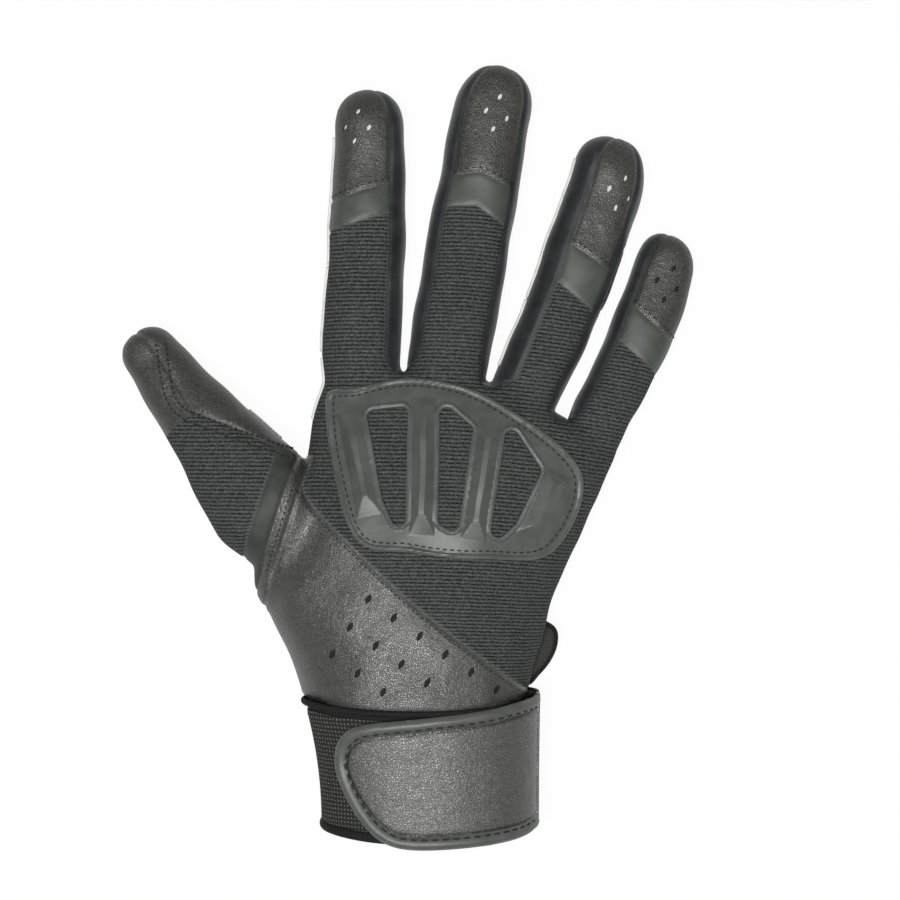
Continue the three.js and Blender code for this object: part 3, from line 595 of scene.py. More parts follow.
def inside(outline):
    """Signed plan distance from a closed outline, positive inside it."""
    start, end = outline, np.roll(outline, -1, 0)
    step = end - start

    def field(at):
        apart = from_segments(at, start, step, 0, 1)[1].min(1)
        x, y = at[:, None, 0], at[:, None, 1]
        spans = (start[:, 1] > y) != (end[:, 1] > y)
        reach = start[:, 0] + (y - start[:, 1]) * step[:, 0] / np.where(step[:, 1] == 0, 1, step[:, 1])
        return np.where((spans & (x < reach)).sum(1) % 2 == 1, apart, -apart)

    return field


# %% [markdown]
# ### Parting the stalls
# The folds lie at three heights, so the skin is cut from the lowest up: the little finger, the
# ring finger, and then the middle and index fingers, which share a height.

# %% Part the stalls from the hand
whole_skin = Cloth(form_at, outward(form_at, form_faces), form_faces)
index, middle, ring, little = FINGERS.values()
thumb_skin, rest = whole_skin.part(thumb_side)
upper, hand_low = rest.part(above_y(little["fold"][1]))
little_skin, upper = upper.part(between(ring, little))
upper, hand_ring = upper.part(above_y(ring["fold"][1]))
ring_skin, upper = upper.part(between(middle, ring))
upper, hand_middle = upper.part(above_y(middle["fold"][1]))
middle_skin, index_skin = upper.part(between(index, middle))
hand_skin = joined(hand_low, hand_ring, hand_middle)
stall_skins = dict(index=index_skin, middle=middle_skin, ring=ring_skin, little=little_skin)
print("cut:", {name: len(cloth.faces) for name, cloth in stall_skins.items()})

# %% [markdown]
# ## Finishes
# Leather, rib knit, satin film and woven loop differ mostly in their small relief, so every
# finish is built from a height map that also drives its colour and roughness. Image textures
# would tie the patterns to one layout. Each panel instead carries an attribute named pattern, its
# place at rest in millimetres, so that a rib or a grain keeps its scale and stays put when the
# glove bends.


# %% Shader maths
RIM_FULL = 0.2


class Signal:
    """A shader socket that takes part in sums."""

    def __init__(self, graph, socket):
        self.graph, self.socket = graph, socket

    def math(self, operation, *values):
        return self.graph.add("ShaderNodeMath", dict(operation=operation), dict(enumerate(values)))

    def __add__(self, other):
        return self.math("ADD", self, other)

    def __sub__(self, other):
        return self.math("SUBTRACT", self, other)

    def __rsub__(self, other):
        return self.math("SUBTRACT", other, self)

    def __mul__(self, other):
        return self.math("MULTIPLY", self, other)

    __radd__, __rmul__ = __add__, __mul__

    def sine(self):
        return self.math("SINE", self)

    def at_least(self, low):
        return self.math("MAXIMUM", self, low)

    def ramp(self, low, high):
        limits = {0: self, 1: low, 2: high, 3: 0.0, 4: 1.0}
        return self.graph.add("ShaderNodeMapRange", dict(interpolation_type="SMOOTHSTEP"), limits)


class Graph:
    """A node tree whose nodes come from expressions."""

    def __init__(self, tree):
        self.tree = tree
        self.tree.nodes.clear()

    def add(self, kind, settings=None, inputs=None, output=0):
        node = self.tree.nodes.new(kind)
        for key, value in (settings or {}).items():
            setattr(node, key, value)
        for key, value in (inputs or {}).items():
            if isinstance(value, Signal):
                self.tree.links.new(value.socket, node.inputs[key])
            else:
                node.inputs[key].default_value = value
        return Signal(self, node.outputs[output]) if node.outputs else node


class Finish(Graph):
    """A material made of pattern, relief and colour."""

    def __init__(self, name):
        self.material = bpy.data.materials.new(name)
        self.material.use_nodes = True
        super().__init__(self.material.node_tree)

    def pattern(self):
        """The place on the flat panel as a vector, and its three numbers, in millimetres."""
        place = self.add("ShaderNodeAttribute", dict(attribute_name="pattern"), output="Vector")
        return place, *(self.add("ShaderNodeSeparateXYZ", None, {0: place}, axis) for axis in "XYZ")

    # Finishes add this to their colour: a positive weight paints a highlight along the rolled sewn edge, a
    # negative weight paints shade there.
    def rim(self, reach):
        """One at a panel's sewn edge, fading to nothing over a reach in millimetres."""
        edge = self.add("ShaderNodeAttribute", dict(attribute_name="edge"), output="Fac")
        return 1 - edge.ramp(reach * RIM_FULL, reach)

    def noise(self, place, scale, detail=2.0, rough=0.5):
        inputs = {"Vector": place, "Scale": scale, "Detail": detail, "Roughness": rough}
        return self.add("ShaderNodeTexNoise", None, inputs)

    def cells(self, place, scale, feature="F1"):
        return self.add("ShaderNodeTexVoronoi", dict(feature=feature), {"Vector": place, "Scale": scale})

    def shade(self, factor, dark, light):
        """A colour between two colours."""
        return self.add("ShaderNodeMix", dict(data_type="RGBA"), {0: factor, 6: dark, 7: light}, 2)

    def surface(self, colour, roughness, height=None, relief=0.1, **sockets):
        """The finished surface. Relief is the depth of the height map in millimetres."""
        inputs = {"Base Color": colour, "Roughness": roughness, **sockets}
        if height is not None:
            bump = {"Height": height, "Distance": relief * MM, "Strength": 1.0}
            inputs["Normal"] = self.add("ShaderNodeBump", None, bump)
        shader = self.add("ShaderNodeBsdfPrincipled", None, inputs)
        self.add("ShaderNodeOutputMaterial", None, {"Surface": shader})
        return self.material


def tone(*levels):
    """A linear colour from levels of 0 to 255 as a screen shows them."""
    levels = np.array(levels) / 255
    linear = np.where(levels > 0.04045, ((levels + 0.055) / 1.055) ** 2.4, levels / 12.92)
    return (*linear.tolist(), 1.0)


# %% [markdown]
# ### Leather
# The tips, the lower back and the strap are thin goat leather: small pebbles with fine cracks
# between them, and long soft creases where it has been pulled. Rounded Voronoi cells make the
# pebbles, their edges make the cracks, and a slow noise makes the creases and cloudy dye.


# %% Leather finishes
def leather_finish(name, dark, light, pebble=1.6, relief=0.055, gloss=0.34, edge=0.3, shine=1.0):
    finish = Finish(name)
    place, *_ = finish.pattern()
    wander = finish.noise(place, 0.5, 3.0)
    pebbles = finish.cells(place, pebble, "SMOOTH_F1")
    cracks = finish.cells(place, pebble, "DISTANCE_TO_EDGE").ramp(0.0, 0.22)
    pores = finish.noise(place, 4.5, 3.0, 0.7)
    creases = finish.noise(place, 0.16, 4.0, 0.62)
    height = cracks * 0.8 - pebbles * 0.5 + pores * 0.4 + creases.ramp(0.35, 0.65) * 2.4
    grain_and_painted_edge = cracks * 0.4 + pores.ramp(0.36, 0.64) * 0.45 + wander.ramp(0.3, 0.7) * 0.1
    # With the default positive weight the edge term paints a highlight along the rolled sewn edge; the
    # strap's negative weight paints shade there. Cracks, pores and wander are the leather's own grain and
    # dye.
    grain_and_painted_edge = grain_and_painted_edge + finish.rim(1.0) * edge
    roughness = gloss + 0.14 - cracks * 0.12 + wander * 0.06
    colour = finish.shade(grain_and_painted_edge, dark, light)
    return finish.surface(colour, roughness, height, relief, **{"Specular IOR Level": shine})


TIP_LEATHER = leather_finish("tip leather", tone(9, 10, 7), tone(74, 75, 67), shine=0.76)
BACK_LEATHER = leather_finish("back leather", tone(8, 9, 6), tone(78, 79, 72))
# The strap's negative edge weight paints shade along its sewn edge, where it sinks beside the raised rim
# film.
STRAP_LEATHER = leather_finish("strap leather", tone(20, 21, 18), tone(96, 97, 89), edge=-0.8)
PALM_LEATHER = leather_finish("palm hide", tone(14, 15, 13), tone(70, 71, 66), 1.7, 0.05, 0.44)
print("leathers:", [finish.name for finish in (TIP_LEATHER, BACK_LEATHER, STRAP_LEATHER, PALM_LEATHER)])

# %% [markdown]
# ### Rib knit, side strips and film
# The back is a ribbed knit: wide soft ribs run across the hand with a dark thin line between
# them, and each rib shows its small loops. The ribs sag a little towards the little finger and
# lie closer together towards the wrist, so their coordinate bends with x and y. The side strips
# are a smooth black stretch cloth with a satin sheen, and the bands over the joints are a film
# with a faint grain.

# %% Knit, side strip and film finishes
RIB_PITCH, LOOP_PITCH, RIB_SAG, RIB_SAG_FROM = 1.2, 0.78, 0.0015, -10
RIB_SQUASH, RIB_SQUASH_FROM = 0.0016, 30


def knit_finish():
    finish = Finish("rib knit")
    place, x, y, _ = finish.pattern()
    sag = (x - RIB_SAG_FROM).at_least(0.0)
    wobble = finish.noise(place, 0.25, 2.0) * 0.5
    below = (RIB_SQUASH_FROM - y).at_least(0.0)
    rib_place = (y + sag * sag * RIB_SAG - below * below * RIB_SQUASH + wobble) * (2 * np.pi / RIB_PITCH)
    rib = rib_place.sine() * 0.5 + 0.5
    groove = rib.ramp(0.0, 0.5)
    loops = (x * (2 * np.pi / LOOP_PITCH) + rib_place * 0.5).sine() * 0.5 + 0.5
    fuzz = finish.noise(place, 3.2, 3.0, 0.7)
    cloud = finish.noise(place, 0.12, 3.0)
    speck = finish.noise(place, 1.5, 2.0, 0.8).ramp(0.44, 0.64)
    height = groove * 1.0 + loops * groove * 0.35 + fuzz * 0.3
    lightness = groove * 0.36 + loops * groove * 0.2 + speck * 0.5 + cloud.ramp(0.3, 0.7) * 0.08
    # The rim term paints a highlight along the knit's rolled sewn edges.
    lightness = lightness + finish.rim(0.9) * 0.4
    colour = finish.shade(lightness, tone(12, 14, 14), tone(90, 93, 91))
    return finish.surface(colour, 0.86 - groove * 0.06, height, 0.22, **{"Specular IOR Level": 0.2})


def stretch_finish():
    finish = Finish("side strip cloth")
    place, x, y, z = finish.pattern()
    weave = ((x + z) * 9.0).sine() * (y * 9.0).sine()
    cloud = finish.noise(place, 0.2, 3.0)
    colour = finish.shade(cloud.ramp(0.3, 0.7), tone(20, 24, 26), tone(38, 43, 45))
    height = weave * 0.5 + cloud * 2.0
    return finish.surface(colour, 0.42 + cloud * 0.15, height, 0.05, **{"Sheen Weight": 0.15})


def film_finish(name, dark, light, rough=0.42):
    finish = Finish(name)
    place, *_ = finish.pattern()
    grain = finish.noise(place, 5.0, 2.0, 0.7)
    cloud = finish.noise(place, 0.22, 3.0)
    # Cloud and grain are the film's own tone; the rim term paints a highlight along the rolled edges.
    mottle_and_edge_highlight = cloud.ramp(0.3, 0.7) * 0.5 + grain * 0.3 + finish.rim(0.8) * 0.4
    colour = finish.shade(mottle_and_edge_highlight, dark, light)
    return finish.surface(colour, rough + grain * 0.12, grain * 0.6 + cloud * 1.5, 0.06)


RIB_KNIT = knit_finish()
SIDE_CLOTH = stretch_finish()
FLEX_FILM = film_finish("flex film", tone(61, 67, 61), tone(79, 85, 78))
THUMB_FILM = film_finish("thumb film", tone(40, 46, 42), tone(62, 67, 63), 0.58)
RIM_FILM = film_finish("strap rim film", tone(74, 77, 73), tone(92, 96, 91), 0.36)
# On the guard the rim term paints the light bevel lines round its outline and windows.
GUARD_RUBBER = film_finish("guard rubber", tone(70, 74, 70), tone(90, 94, 90), 0.36)

# %% [markdown]
# ### Loop cloth, tape, thread and cut edges
# The patch on the cuff that the strap's hooks grip is a woven loop fabric: black with light flecks
# where the loops stand up. Bindings are narrow woven tape, thread is a matt black cord, and where
# the leather is cut its undyed white core shows.


# %% Woven and small finishes
def loop_finish(name, dark, light, pitch, relief):
    finish = Finish(name)
    place, x, y, _ = finish.pattern()
    turn = 2 * np.pi / pitch
    weave = ((x + y) * turn).sine() * ((x - y) * turn).sine()
    tufts = finish.cells(place, 2.6 / pitch)
    fuzz = finish.noise(place, 4.0 / pitch, 3.0, 0.75)
    loops = weave.ramp(0.15, 0.85)
    height = loops * 0.6 + (1 - tufts) * 0.4 + fuzz * 0.4
    flecks = loops * fuzz.ramp(0.3, 0.7) * 0.9 + fuzz * 0.1
    colour = finish.shade(flecks, dark, light)
    return finish.surface(colour, 0.85 - fuzz * 0.1, height, relief, **{"Specular IOR Level": 0.25})


def thread_finish(name, dark, light):
    finish = Finish(name)
    _, x, y, z = finish.pattern()
    twist = ((x + y * 1.3 + z) * 7.0).sine() * 0.5 + 0.5
    return finish.surface(finish.shade(twist, dark, light), 0.6 + twist * 0.1, twist, 0.05)


CUFF_LOOP = loop_finish("cuff loop cloth", tone(20, 21, 20), tone(134, 136, 131), 2.4, 0.35)
HOOK_CLOTH = loop_finish("hook cloth", tone(18, 19, 19), tone(84, 85, 84), 1.6, 0.3)
TAPE = loop_finish("binding tape", tone(14, 15, 14), tone(62, 64, 62), 1.2, 0.1)
VENT_CLOTH = loop_finish("vent cloth", tone(44, 45, 40), tone(100, 101, 93), 1.4, 0.12)
THREAD = thread_finish("black thread", tone(16, 17, 17), tone(38, 39, 39))
LINING = film_finish("dark lining", tone(16, 17, 17), tone(30, 31, 31), 0.8)
CUT_EDGE = film_finish("white cut edge", tone(206, 207, 203), tone(238, 239, 235), 0.75)
print("finishes:", len(bpy.data.materials))

# %% [markdown]
# ## Sewing
# A panel gets thickness on the inside only, so that its outer face stays on the stretched skin.
# Along a sewn edge the cloth rolls down into the seam: the mesh is refined there and its points
# sink towards the edge. Where a panel runs on over a joint, the edge isn't sewn and stays level,
# and the two panels meet without a mark.


# %% Panels with thickness and rolled edges
ROLL_STEPS, ROLL_EDGE, HOLE_EDGE = 2, 0.5, 0.32
FAR_FROM_EDGE, JOIN_NEAR = 99.0, 0.08
SIDE_SEWING, BAND_SEWING = dict(thick=0.9, roll=0.35), dict(thick=1.0, roll=0.3, reach=0.9)


def rides(body):
    return lambda piece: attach(piece, body)


def bends(start, end):
    """A motion for cloth that crosses a joint; it only bakes a piece's placement into its mesh. Start and
    end, in millimetres, are converted but not used.
    """
    start, end = (tuple(float(value) * MM for value in point) for point in (start, end))
    return lambda piece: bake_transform(piece)


def nearest(points):
    """A function for the distance from the nearest of some points."""
    tree = KDTree(len(points))
    for number, point in enumerate(points):
        tree.insert(point, number)
    tree.balance()
    return lambda at: np.array([tree.find(point)[2] for point in at])


def sewn_distance(cloth, plain):
    """Distance of every point from the nearest sewn edge."""
    rim = cloth.rim()
    middles = cloth.at[rim].mean(1)
    rim = rim[~plain(middles)]
    if not len(rim):
        return np.full(len(cloth.at), FAR_FROM_EDGE)
    a, b = cloth.at[rim[:, 0]], cloth.at[rim[:, 1]]
    return nearest(np.concatenate([a, mix(a, b, 0.5)]))(cloth.at)


def never(at):
    return np.zeros(len(at), bool)


def store(mesh, name, kind, domain, field, values):
    mesh.attributes.new(name, kind, domain).data.foreach_set(field, values)


def solid_piece(name, points, faces, finish, pattern, edge=None, sharp=()):
    """A mesh piece from points in millimetres, its pattern, its distance from a sewn edge and creases."""
    mesh = bpy.data.meshes.new(name)
    mesh.from_pydata((points * MM).tolist(), [], faces.tolist())
    mesh.shade_smooth()
    edge = np.full(len(points), FAR_FROM_EDGE) if edge is None else edge
    store(mesh, "pattern", "FLOAT_VECTOR", "POINT", "vector", pattern.astype(np.float32).ravel())
    store(mesh, "edge", "FLOAT", "POINT", "value", edge.astype(np.float32))
    if len(sharp):
        ends = read_rows(mesh.edges, "vertices", 2, np.int32)
        creased = np.isin(edge_keys(ends, len(points)), edge_keys(sharp, len(points)))
        store(mesh, "sharp_edge", "BOOLEAN", "EDGE", "value", creased)
    mesh.materials.append(finish)
    return linked(name, mesh)


def placed(piece, motion, nodes=()):
    """Runs a finished piece's motion and hides the solids it stands for."""
    motion(piece)
    if nodes:
        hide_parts(*nodes)
    return piece


def sewn(
    name, cloth, finish, slot, motion, nodes=(), thick=1.1, roll=0.45, reach=1.4,
    plain=never, lift=None, pattern=None,
):
    """A panel of cloth as a closed piece on the glove."""
    for _ in range(ROLL_STEPS if roll else 0):
        cloth = cloth.refined(sewn_distance(cloth, plain) < reach, ROLL_EDGE)
    edge = sewn_distance(cloth, plain)
    drop = roll * (1 - smoothstep(edge, 0, reach))
    raised = lift(cloth.at) if lift else np.zeros(len(cloth.at))
    top = cloth.at + cloth.out * (raised - drop)[:, None]
    under = cloth.at - cloth.out * thick
    rim, count = cloth.rim(), len(top)
    a, b = rim.T
    wall = np.concatenate([np.stack([b, a, a + count], 1), np.stack([b, a + count, b + count], 1)])
    faces = np.concatenate([cloth.faces, cloth.faces[:, ::-1] + count, wall])
    place = pattern(cloth.at) if pattern else cloth.at
    points, places, edges = (np.concatenate(pair) for pair in ((top, under), (place, place), (edge, edge)))
    piece = solid_piece(name, points, faces, finish, places, edges, np.concatenate([rim, rim + count]))
    return placed(piece, motion, nodes)


def dressed(node, kind, cloth, finish, slot, motion, **options):
    """A panel that stands for one solid and is named after it."""
    return sewn(f"{node}_{kind}", cloth, finish, slot, motion, [node], **options)


ON_HAND = rides("hand")
print("ready to sew with", ROLL_STEPS, "refinements at each seam")

# %% [markdown]
# ## Finger panels
# A finger has a back of knit with a film band and a leather tip, a leather front, and black side
# strips between them. The knit and the front run on over the knuckle and the middle joint: the
# cloth is cut there, and the edges that meet are left level.

# %% Cut and sew the fingers
KNUCKLE_REACH, KNUCKLE_SHARE, MIDDLE_REACH = 20, 0.8, 16
HOLE_LONG, HOLE_WIDE, HOLE_TURN, HOLE_POWER, HOLE_RIM = 2.3, 1.25, -28, 1.5, 0.6
LINING_DEPTH, LINING_THICK = 1.0, 0.4
SIDES = dict(index=("ulnar",), middle=("radial", "ulnar"), ring=("radial", "ulnar"), little=("radial",))


def finger_motions(finger):
    """The motions for the part below the middle joint and the part above it; each only bakes a piece's
    placement into its mesh.
    """
    x, y = finger["fold"]
    reach = min(KNUCKLE_REACH, KNUCKLE_SHARE * finger["joint"])
    lower = bends((x, y, HINGE_Z), (x, y + reach, HINGE_Z))
    start, end = (to_glove(finger, 0, finger["joint"] + more) for more in (0, MIDDLE_REACH))
    return lower, bends((*start, HINGE_Z), (*end, HINGE_Z))


def on_joints(finger):
    """True on the edges where cloth runs on over the knuckle or the middle joint."""
    knuckle, middle = above_y(finger["fold"][1]), beyond(finger, finger["joint"])
    return lambda at: (np.abs(knuckle(at)) < JOIN_NEAR) | (np.abs(middle(at)) < JOIN_NEAR)


def from_centres(at, centres):
    """Plan distance of points from the nearest centre."""
    return np.linalg.norm(at[:, None, :2] - np.array(centres), axis=2).min(1)


def punched(cloth, centres, long=HOLE_LONG, wide=HOLE_WIDE):
    """Cloth with lozenge holes round plan centres, and the cloth below them for a lining."""
    sine, cosine = np.sin(np.radians(HOLE_TURN)), np.cos(np.radians(HOLE_TURN))

    def lozenge(at):
        x, y = np.moveaxis(at[:, None, :2] - np.array(centres), 2, 0)
        u, v = x * cosine + y * sine, y * cosine - x * sine
        shape = (np.abs(u) / (wide / 2)) ** HOLE_POWER + (np.abs(v) / (long / 2)) ** HOLE_POWER
        return shape.min(1) - 1

    def around(at):
        return long - from_centres(at, centres)

    for _ in range(ROLL_STEPS + 1):
        cloth = cloth.refined((around(cloth.at) > 0) & (cloth.out[:, 2] > 0), HOLE_EDGE)
    lining, _ = cloth.part(around)
    upward = cloth.out[:, 2] > 0
    cloth, _ = cloth.part(lambda at: np.where(upward, lozenge(at), 1.0))
    return cloth, lining


def with_holes(plain, centres, long=HOLE_LONG):
    """Edges that aren't sewn, with those of punched holes, which are only cut."""
    return lambda at: plain(at) | (from_centres(at, centres) < long * HOLE_RIM)


def lining_patch(name, lining, finish, motion):
    """The cloth that shows at the bottom of punched holes."""
    under = Cloth(lining.at - lining.out * LINING_DEPTH, lining.out, lining.faces)
    return sewn(name, under, finish, "leather", motion, thick=LINING_THICK, roll=0)


def sew_finger(name, finger, skin):
    motions = finger_motions(finger)
    plain = on_joints(finger)
    levels = "lower", "upper"
    upper, lower = skin.part(beyond(finger, finger["joint"]))
    backs = []
    for level, cloth, motion in zip(levels, (lower, upper), motions):
        back, around = cloth.part(sector(finger, *finger["back"]))
        front, sides = around.part(sector(finger, *finger["palm"]))
        backs.append(back)
        dressed(f"{name}_front_{level}", "panel", front, PALM_LEATHER, "palm leather", motion, plain=plain)
        for side in SIDES[name]:
            sign = 1 if side == "ulnar" else -1
            strip, _ = sides.part(lambda at: sign * stall_frame(finger, at)[1])
            node = f"{name}_{side}_fourchette_{level}"
            dressed(node, "strip", strip, SIDE_CLOTH, "fourchette", motion, plain=plain, **SIDE_SEWING)
    tip, below = backs[1].part(slanted(finger, *finger["high"]))
    band, knit = below.part(slanted(finger, *finger["low"]))
    for level, cloth, motion in zip(levels, (backs[0], knit), motions):
        dressed(f"{name}_back_{level}", "panel", cloth, RIB_KNIT, "knit", motion, plain=plain)
    motion = motions[1]
    dressed(f"{name}_flex_band", "film", band, FLEX_FILM, "rubber", motion, plain=plain, **BAND_SEWING)
    holes = [to_glove(finger, *hole) for hole in finger["holes"]]
    tip, lining = punched(tip, holes)
    plain = with_holes(plain, holes)
    dressed(f"{name}_tip_back", "panel", tip, TIP_LEATHER, "leather", motion, plain=plain)
    lining_patch(f"{name}_tip_lining", lining, LINING if name == "little" else CUT_EDGE, motion)
    return motions


finger_moves = {name: sew_finger(name, finger, stall_skins[name]) for name, finger in FINGERS.items()}

# %% [markdown]
# ## Thumb panels
# The thumb's back is in three parts: a film band that curves along the fold, knit on the outer
# side, and a leather overlay on the side of the index finger that runs out over the tip. The
# overlay's edge is written as an angle round the thumb that changes along it.

# %% Cut and sew the thumb
THUMB_BAND = 6.2
OVERLAY_EDGE = (8, 88, 74)
SWING_REACH, THUMB_TIP_REACH = 16, 14
fold_out = np.array([fold_run[1], -fold_run[0]])
swing_start = THUMB_FOLD.mean(0)
swing_end = swing_start + fold_out * SWING_REACH
thumb_swing = bends((*swing_start, HINGE_Z), (*swing_end, HINGE_Z))
tip_start, tip_end = (to_glove(THUMB, 0, THUMB["joint"] + more) for more in (0, THUMB_TIP_REACH))
thumb_bend = bends((*tip_start, HINGE_Z), (*tip_end, HINGE_Z))


def overlay_side(at):
    """Positive on the index-finger side of the overlay's edge, which climbs over the thumb's back."""
    along, _, angle = stall_frame(THUMB, at)
    base, middle, tip = OVERLAY_EDGE
    past = along - THUMB["joint"]
    lower = mix(base, middle, along / THUMB["joint"])
    upper = mix(middle, tip, past / (THUMB["length"] - THUMB["joint"]))
    turn = (angle + 90) % 360 - 90
    return arc_length(THUMB, along, np.where(past < 0, lower, upper) - turn)


def over_fold(at):
    """True where palm leather runs on over the thumb's fold."""
    return (np.abs(thumb_side(at)) < JOIN_NEAR) & (at[:, 2] < SIDE_SEAM_Z)


def thumb_plain(at):
    """True where a thumb panel runs on over the tip joint or the fold."""
    return (np.abs(beyond(THUMB, THUMB["joint"])(at)) < JOIN_NEAR) | over_fold(at)


def sew_thumb(skin):
    upper, lower = skin.part(beyond(THUMB, THUMB["joint"]))
    sewing = dict(plain=thumb_plain)
    for level, cloth, motion in (("lower", lower, thumb_swing), ("upper", upper, thumb_bend)):
        front, back = cloth.part(sector(THUMB, *THUMB["palm"]))
        overlay, outer = back.part(overlay_side)
        dressed(f"thumb_front_{level}", "panel", front, PALM_LEATHER, "palm leather", motion, **sewing)
        if level == "lower":
            knit, band = outer.part(lambda at: thumb_side(at) - THUMB_BAND)
            band_sewing = dict(plain=thumb_plain, thick=1.0, roll=0.35)
            dressed("thumb_flex_band", "film", band, THUMB_FILM, "rubber", motion, **band_sewing)
            dressed("thumb_back_knit", "panel", knit, RIB_KNIT, "knit", motion, **sewing)
        else:
            dressed("thumb_tip_back", "panel", outer, TIP_LEATHER, "leather", motion, **sewing)
        dressed(f"thumb_overlay_{level}", "panel", overlay, TIP_LEATHER, "leather", motion, **sewing)


sew_thumb(thumb_skin)

# %% [markdown]
# ## Hand panels
# The back of the hand is one piece of knit above a diagonal seam and perforated leather below
# it. A narrow strip follows the thumb's fold. The palm is one hide, flat where it rests.

# %% Cut and sew the hand
STRIP_WIDTH, CUFF_JOIN = 4, -0.6
BACK_SEAM = [(-46, 31.5), (-41.6, 26.5), (-39.4, 19), (-31.8, 10.5), (-5.7, -13.5), (27.5, -39.2)]
BACK_HOLE_FIRST, BACK_HOLE_ALONG, BACK_HOLE_ACROSS = (-20.8, -10.5), (7.5, -5.3), (-5.3, -8.1)
BACK_HOLE_LONG, BACK_HOLE_WIDE = 3.2, 1.6
BACK_HOLE_ROWS = [6, 4, 3]
CUFF_FLOOR, CUFF_HEIGHT = 2.4, 37.4
WEB_POCKETS = {
    # outlines of the dark cloth at the bottom of each gap between two fingers
    "index_middle": [
        (-16.8, 62.5), (-15.6, 58.8), (-13.4, 56.6), (-11, 57.2), (-8.2, 59.4), (-5.6, 62.5), (-11, 70),
    ],
    "middle_ring": [(12.6, 62.5), (12.4, 55), (13.6, 51.8), (17.5, 52), (22.4, 54.6), (22, 58), (16, 66)],
    "ring_little": [(36.5, 55), (33.4, 47), (33.6, 42.6), (37, 41.2), (43.8, 45.6), (43, 50), (40, 58)],
}
back_seam = through(BACK_SEAM, 60)


def above_cuff(at):
    """Above the line where the hand meets the cuff, which dips over the back."""
    up = np.clip((at[:, 2] - CUFF_FLOOR) / CUFF_HEIGHT * 2 - 1, 0, 1)
    return at[:, 1] - CUFF_TOP_Y - CUFF_JOIN + CUFF_DIP * up**BACK_ROUNDNESS


def hand_plain(at):
    """True where a hand panel runs on over a knuckle, or its palm over the thumb's fold."""
    knuckle = np.min([np.abs(at[:, 1] - finger["fold"][1]) for finger in FINGERS.values()], 0) < JOIN_NEAR
    return knuckle | over_fold(at)


def along_strip(at):
    """On the strip beside the thumb's fold."""
    return np.minimum(thumb_side(at) + STRIP_WIDTH, THUMB_FOLD[0, 1] - at[:, 1])


hand_cloth, _ = hand_skin.part(above_cuff)
back_cloth, palm_cloth = hand_cloth.part(lambda at: at[:, 2] - SIDE_SEAM_Z)
strip_cloth, back_cloth = back_cloth.part(along_strip)
knit_cloth, leather_cloth = back_cloth.part(side_of(back_seam))
for name, outline in WEB_POCKETS.items():
    pocket, knit_cloth = knit_cloth.part(inside(np.array(outline)))
    sewn(f"{name}_web_cloth", pocket, SIDE_CLOTH, "fourchette", ON_HAND, plain=hand_plain, **SIDE_SEWING)
first, along, across = map(np.array, (BACK_HOLE_FIRST, BACK_HOLE_ALONG, BACK_HOLE_ACROSS))
back_holes = []
for row, count in enumerate(BACK_HOLE_ROWS):
    back_holes += [first + along * i + across * row for i in range(count)]
leather_cloth, back_lining = punched(leather_cloth, back_holes, BACK_HOLE_LONG, BACK_HOLE_WIDE)
leather_plain = with_holes(hand_plain, back_holes, BACK_HOLE_LONG)
dressed("palm_leather", "panel", palm_cloth, PALM_LEATHER, "palm leather", ON_HAND, plain=hand_plain)
dressed("back_knit", "panel", knit_cloth, RIB_KNIT, "knit", ON_HAND, plain=hand_plain)
dressed("back_leather", "panel", leather_cloth, BACK_LEATHER, "leather", ON_HAND, plain=leather_plain)
dressed("thumb_seam_strip", "tape", strip_cloth, BACK_LEATHER, "leather", ON_HAND, plain=hand_plain)
lining_patch("back_leather_lining", back_lining, LINING, ON_HAND)

# %% [markdown]
# ## Knuckle guard
# The guard is one flexible moulding: a thin flange with raised ribs and long windows that let
# it bend. It follows the knit below it, so it is cut from a copy of that skin and lifted by a
# height that depends on the distance from each rib. The skin is scored along the ribs first, so
# that their facets meet in crisp lines.

# %% Mould the guard
GUARD_FLANGE, GUARD_RIB, RIB_WIDTH, RIB_CREST, RIB_END = 1.1, 3.1, 7.4, 1.4, 0.16
WINDOW_MARGIN, WINDOW_TRIM, WINDOW_CORNER = 0.9, 0.12, 2.2
LIP_RISE, LIP_FROM, LIP_TO, GUARD_ROW = 0.5, 0.9, 1.5, 2.3
GUARD_SEWING, GUARD_CREASE = dict(thick=0.1, roll=0.35, reach=0.6), 24
GUARD_OUTLINE = [
    (-33.5, 46.5), (-24, 51.5), (-3, 53.6), (19, 45.5), (41.5, 26),
    (32.5, 3.2), (12, 1.2), (-8, 3), (-25.5, 8.6),
]
GUARD_RIBS = np.array([
    [(-26.5, 45), (-20.5, 13.6)],
    [(-4.6, 48), (-5.2, 8)],
    [(15, 41.6), (9.6, 6.4)],
    [(34.6, 26), (25.4, 7.6)],
])


def closed_through(points, steps):
    """A smooth closed outline through points."""
    count = len(points)
    ring = np.array(points[-1:] + points + points[:3])
    run = through(ring, steps * (count + 3) + 1)
    share = np.linspace(0, len(ring) - 1, len(run))
    return run[(share >= 1) & (share < count + 1)]


def rib_place(rib, at):
    """Distance from a rib's middle line, and the share of its length."""
    step = rib[1] - rib[0]
    long = np.linalg.norm(step)
    off = at[:, :2] - rib[0]
    return np.abs(off[:, 0] * step[1] - off[:, 1] * step[0]) / long, off @ step / long**2


def rib_height(at):
    height = np.zeros(len(at))
    for rib in GUARD_RIBS:
        apart, share = rib_place(rib, at)
        side = (RIB_WIDTH / 2 - apart) / (RIB_WIDTH / 2 - RIB_CREST / 2)
        end = np.minimum(share, 1 - share) / RIB_END
        height = np.maximum(height, np.clip(np.minimum(side, end), 0, 1))
    return GUARD_FLANGE + (GUARD_RIB - GUARD_FLANGE) * height


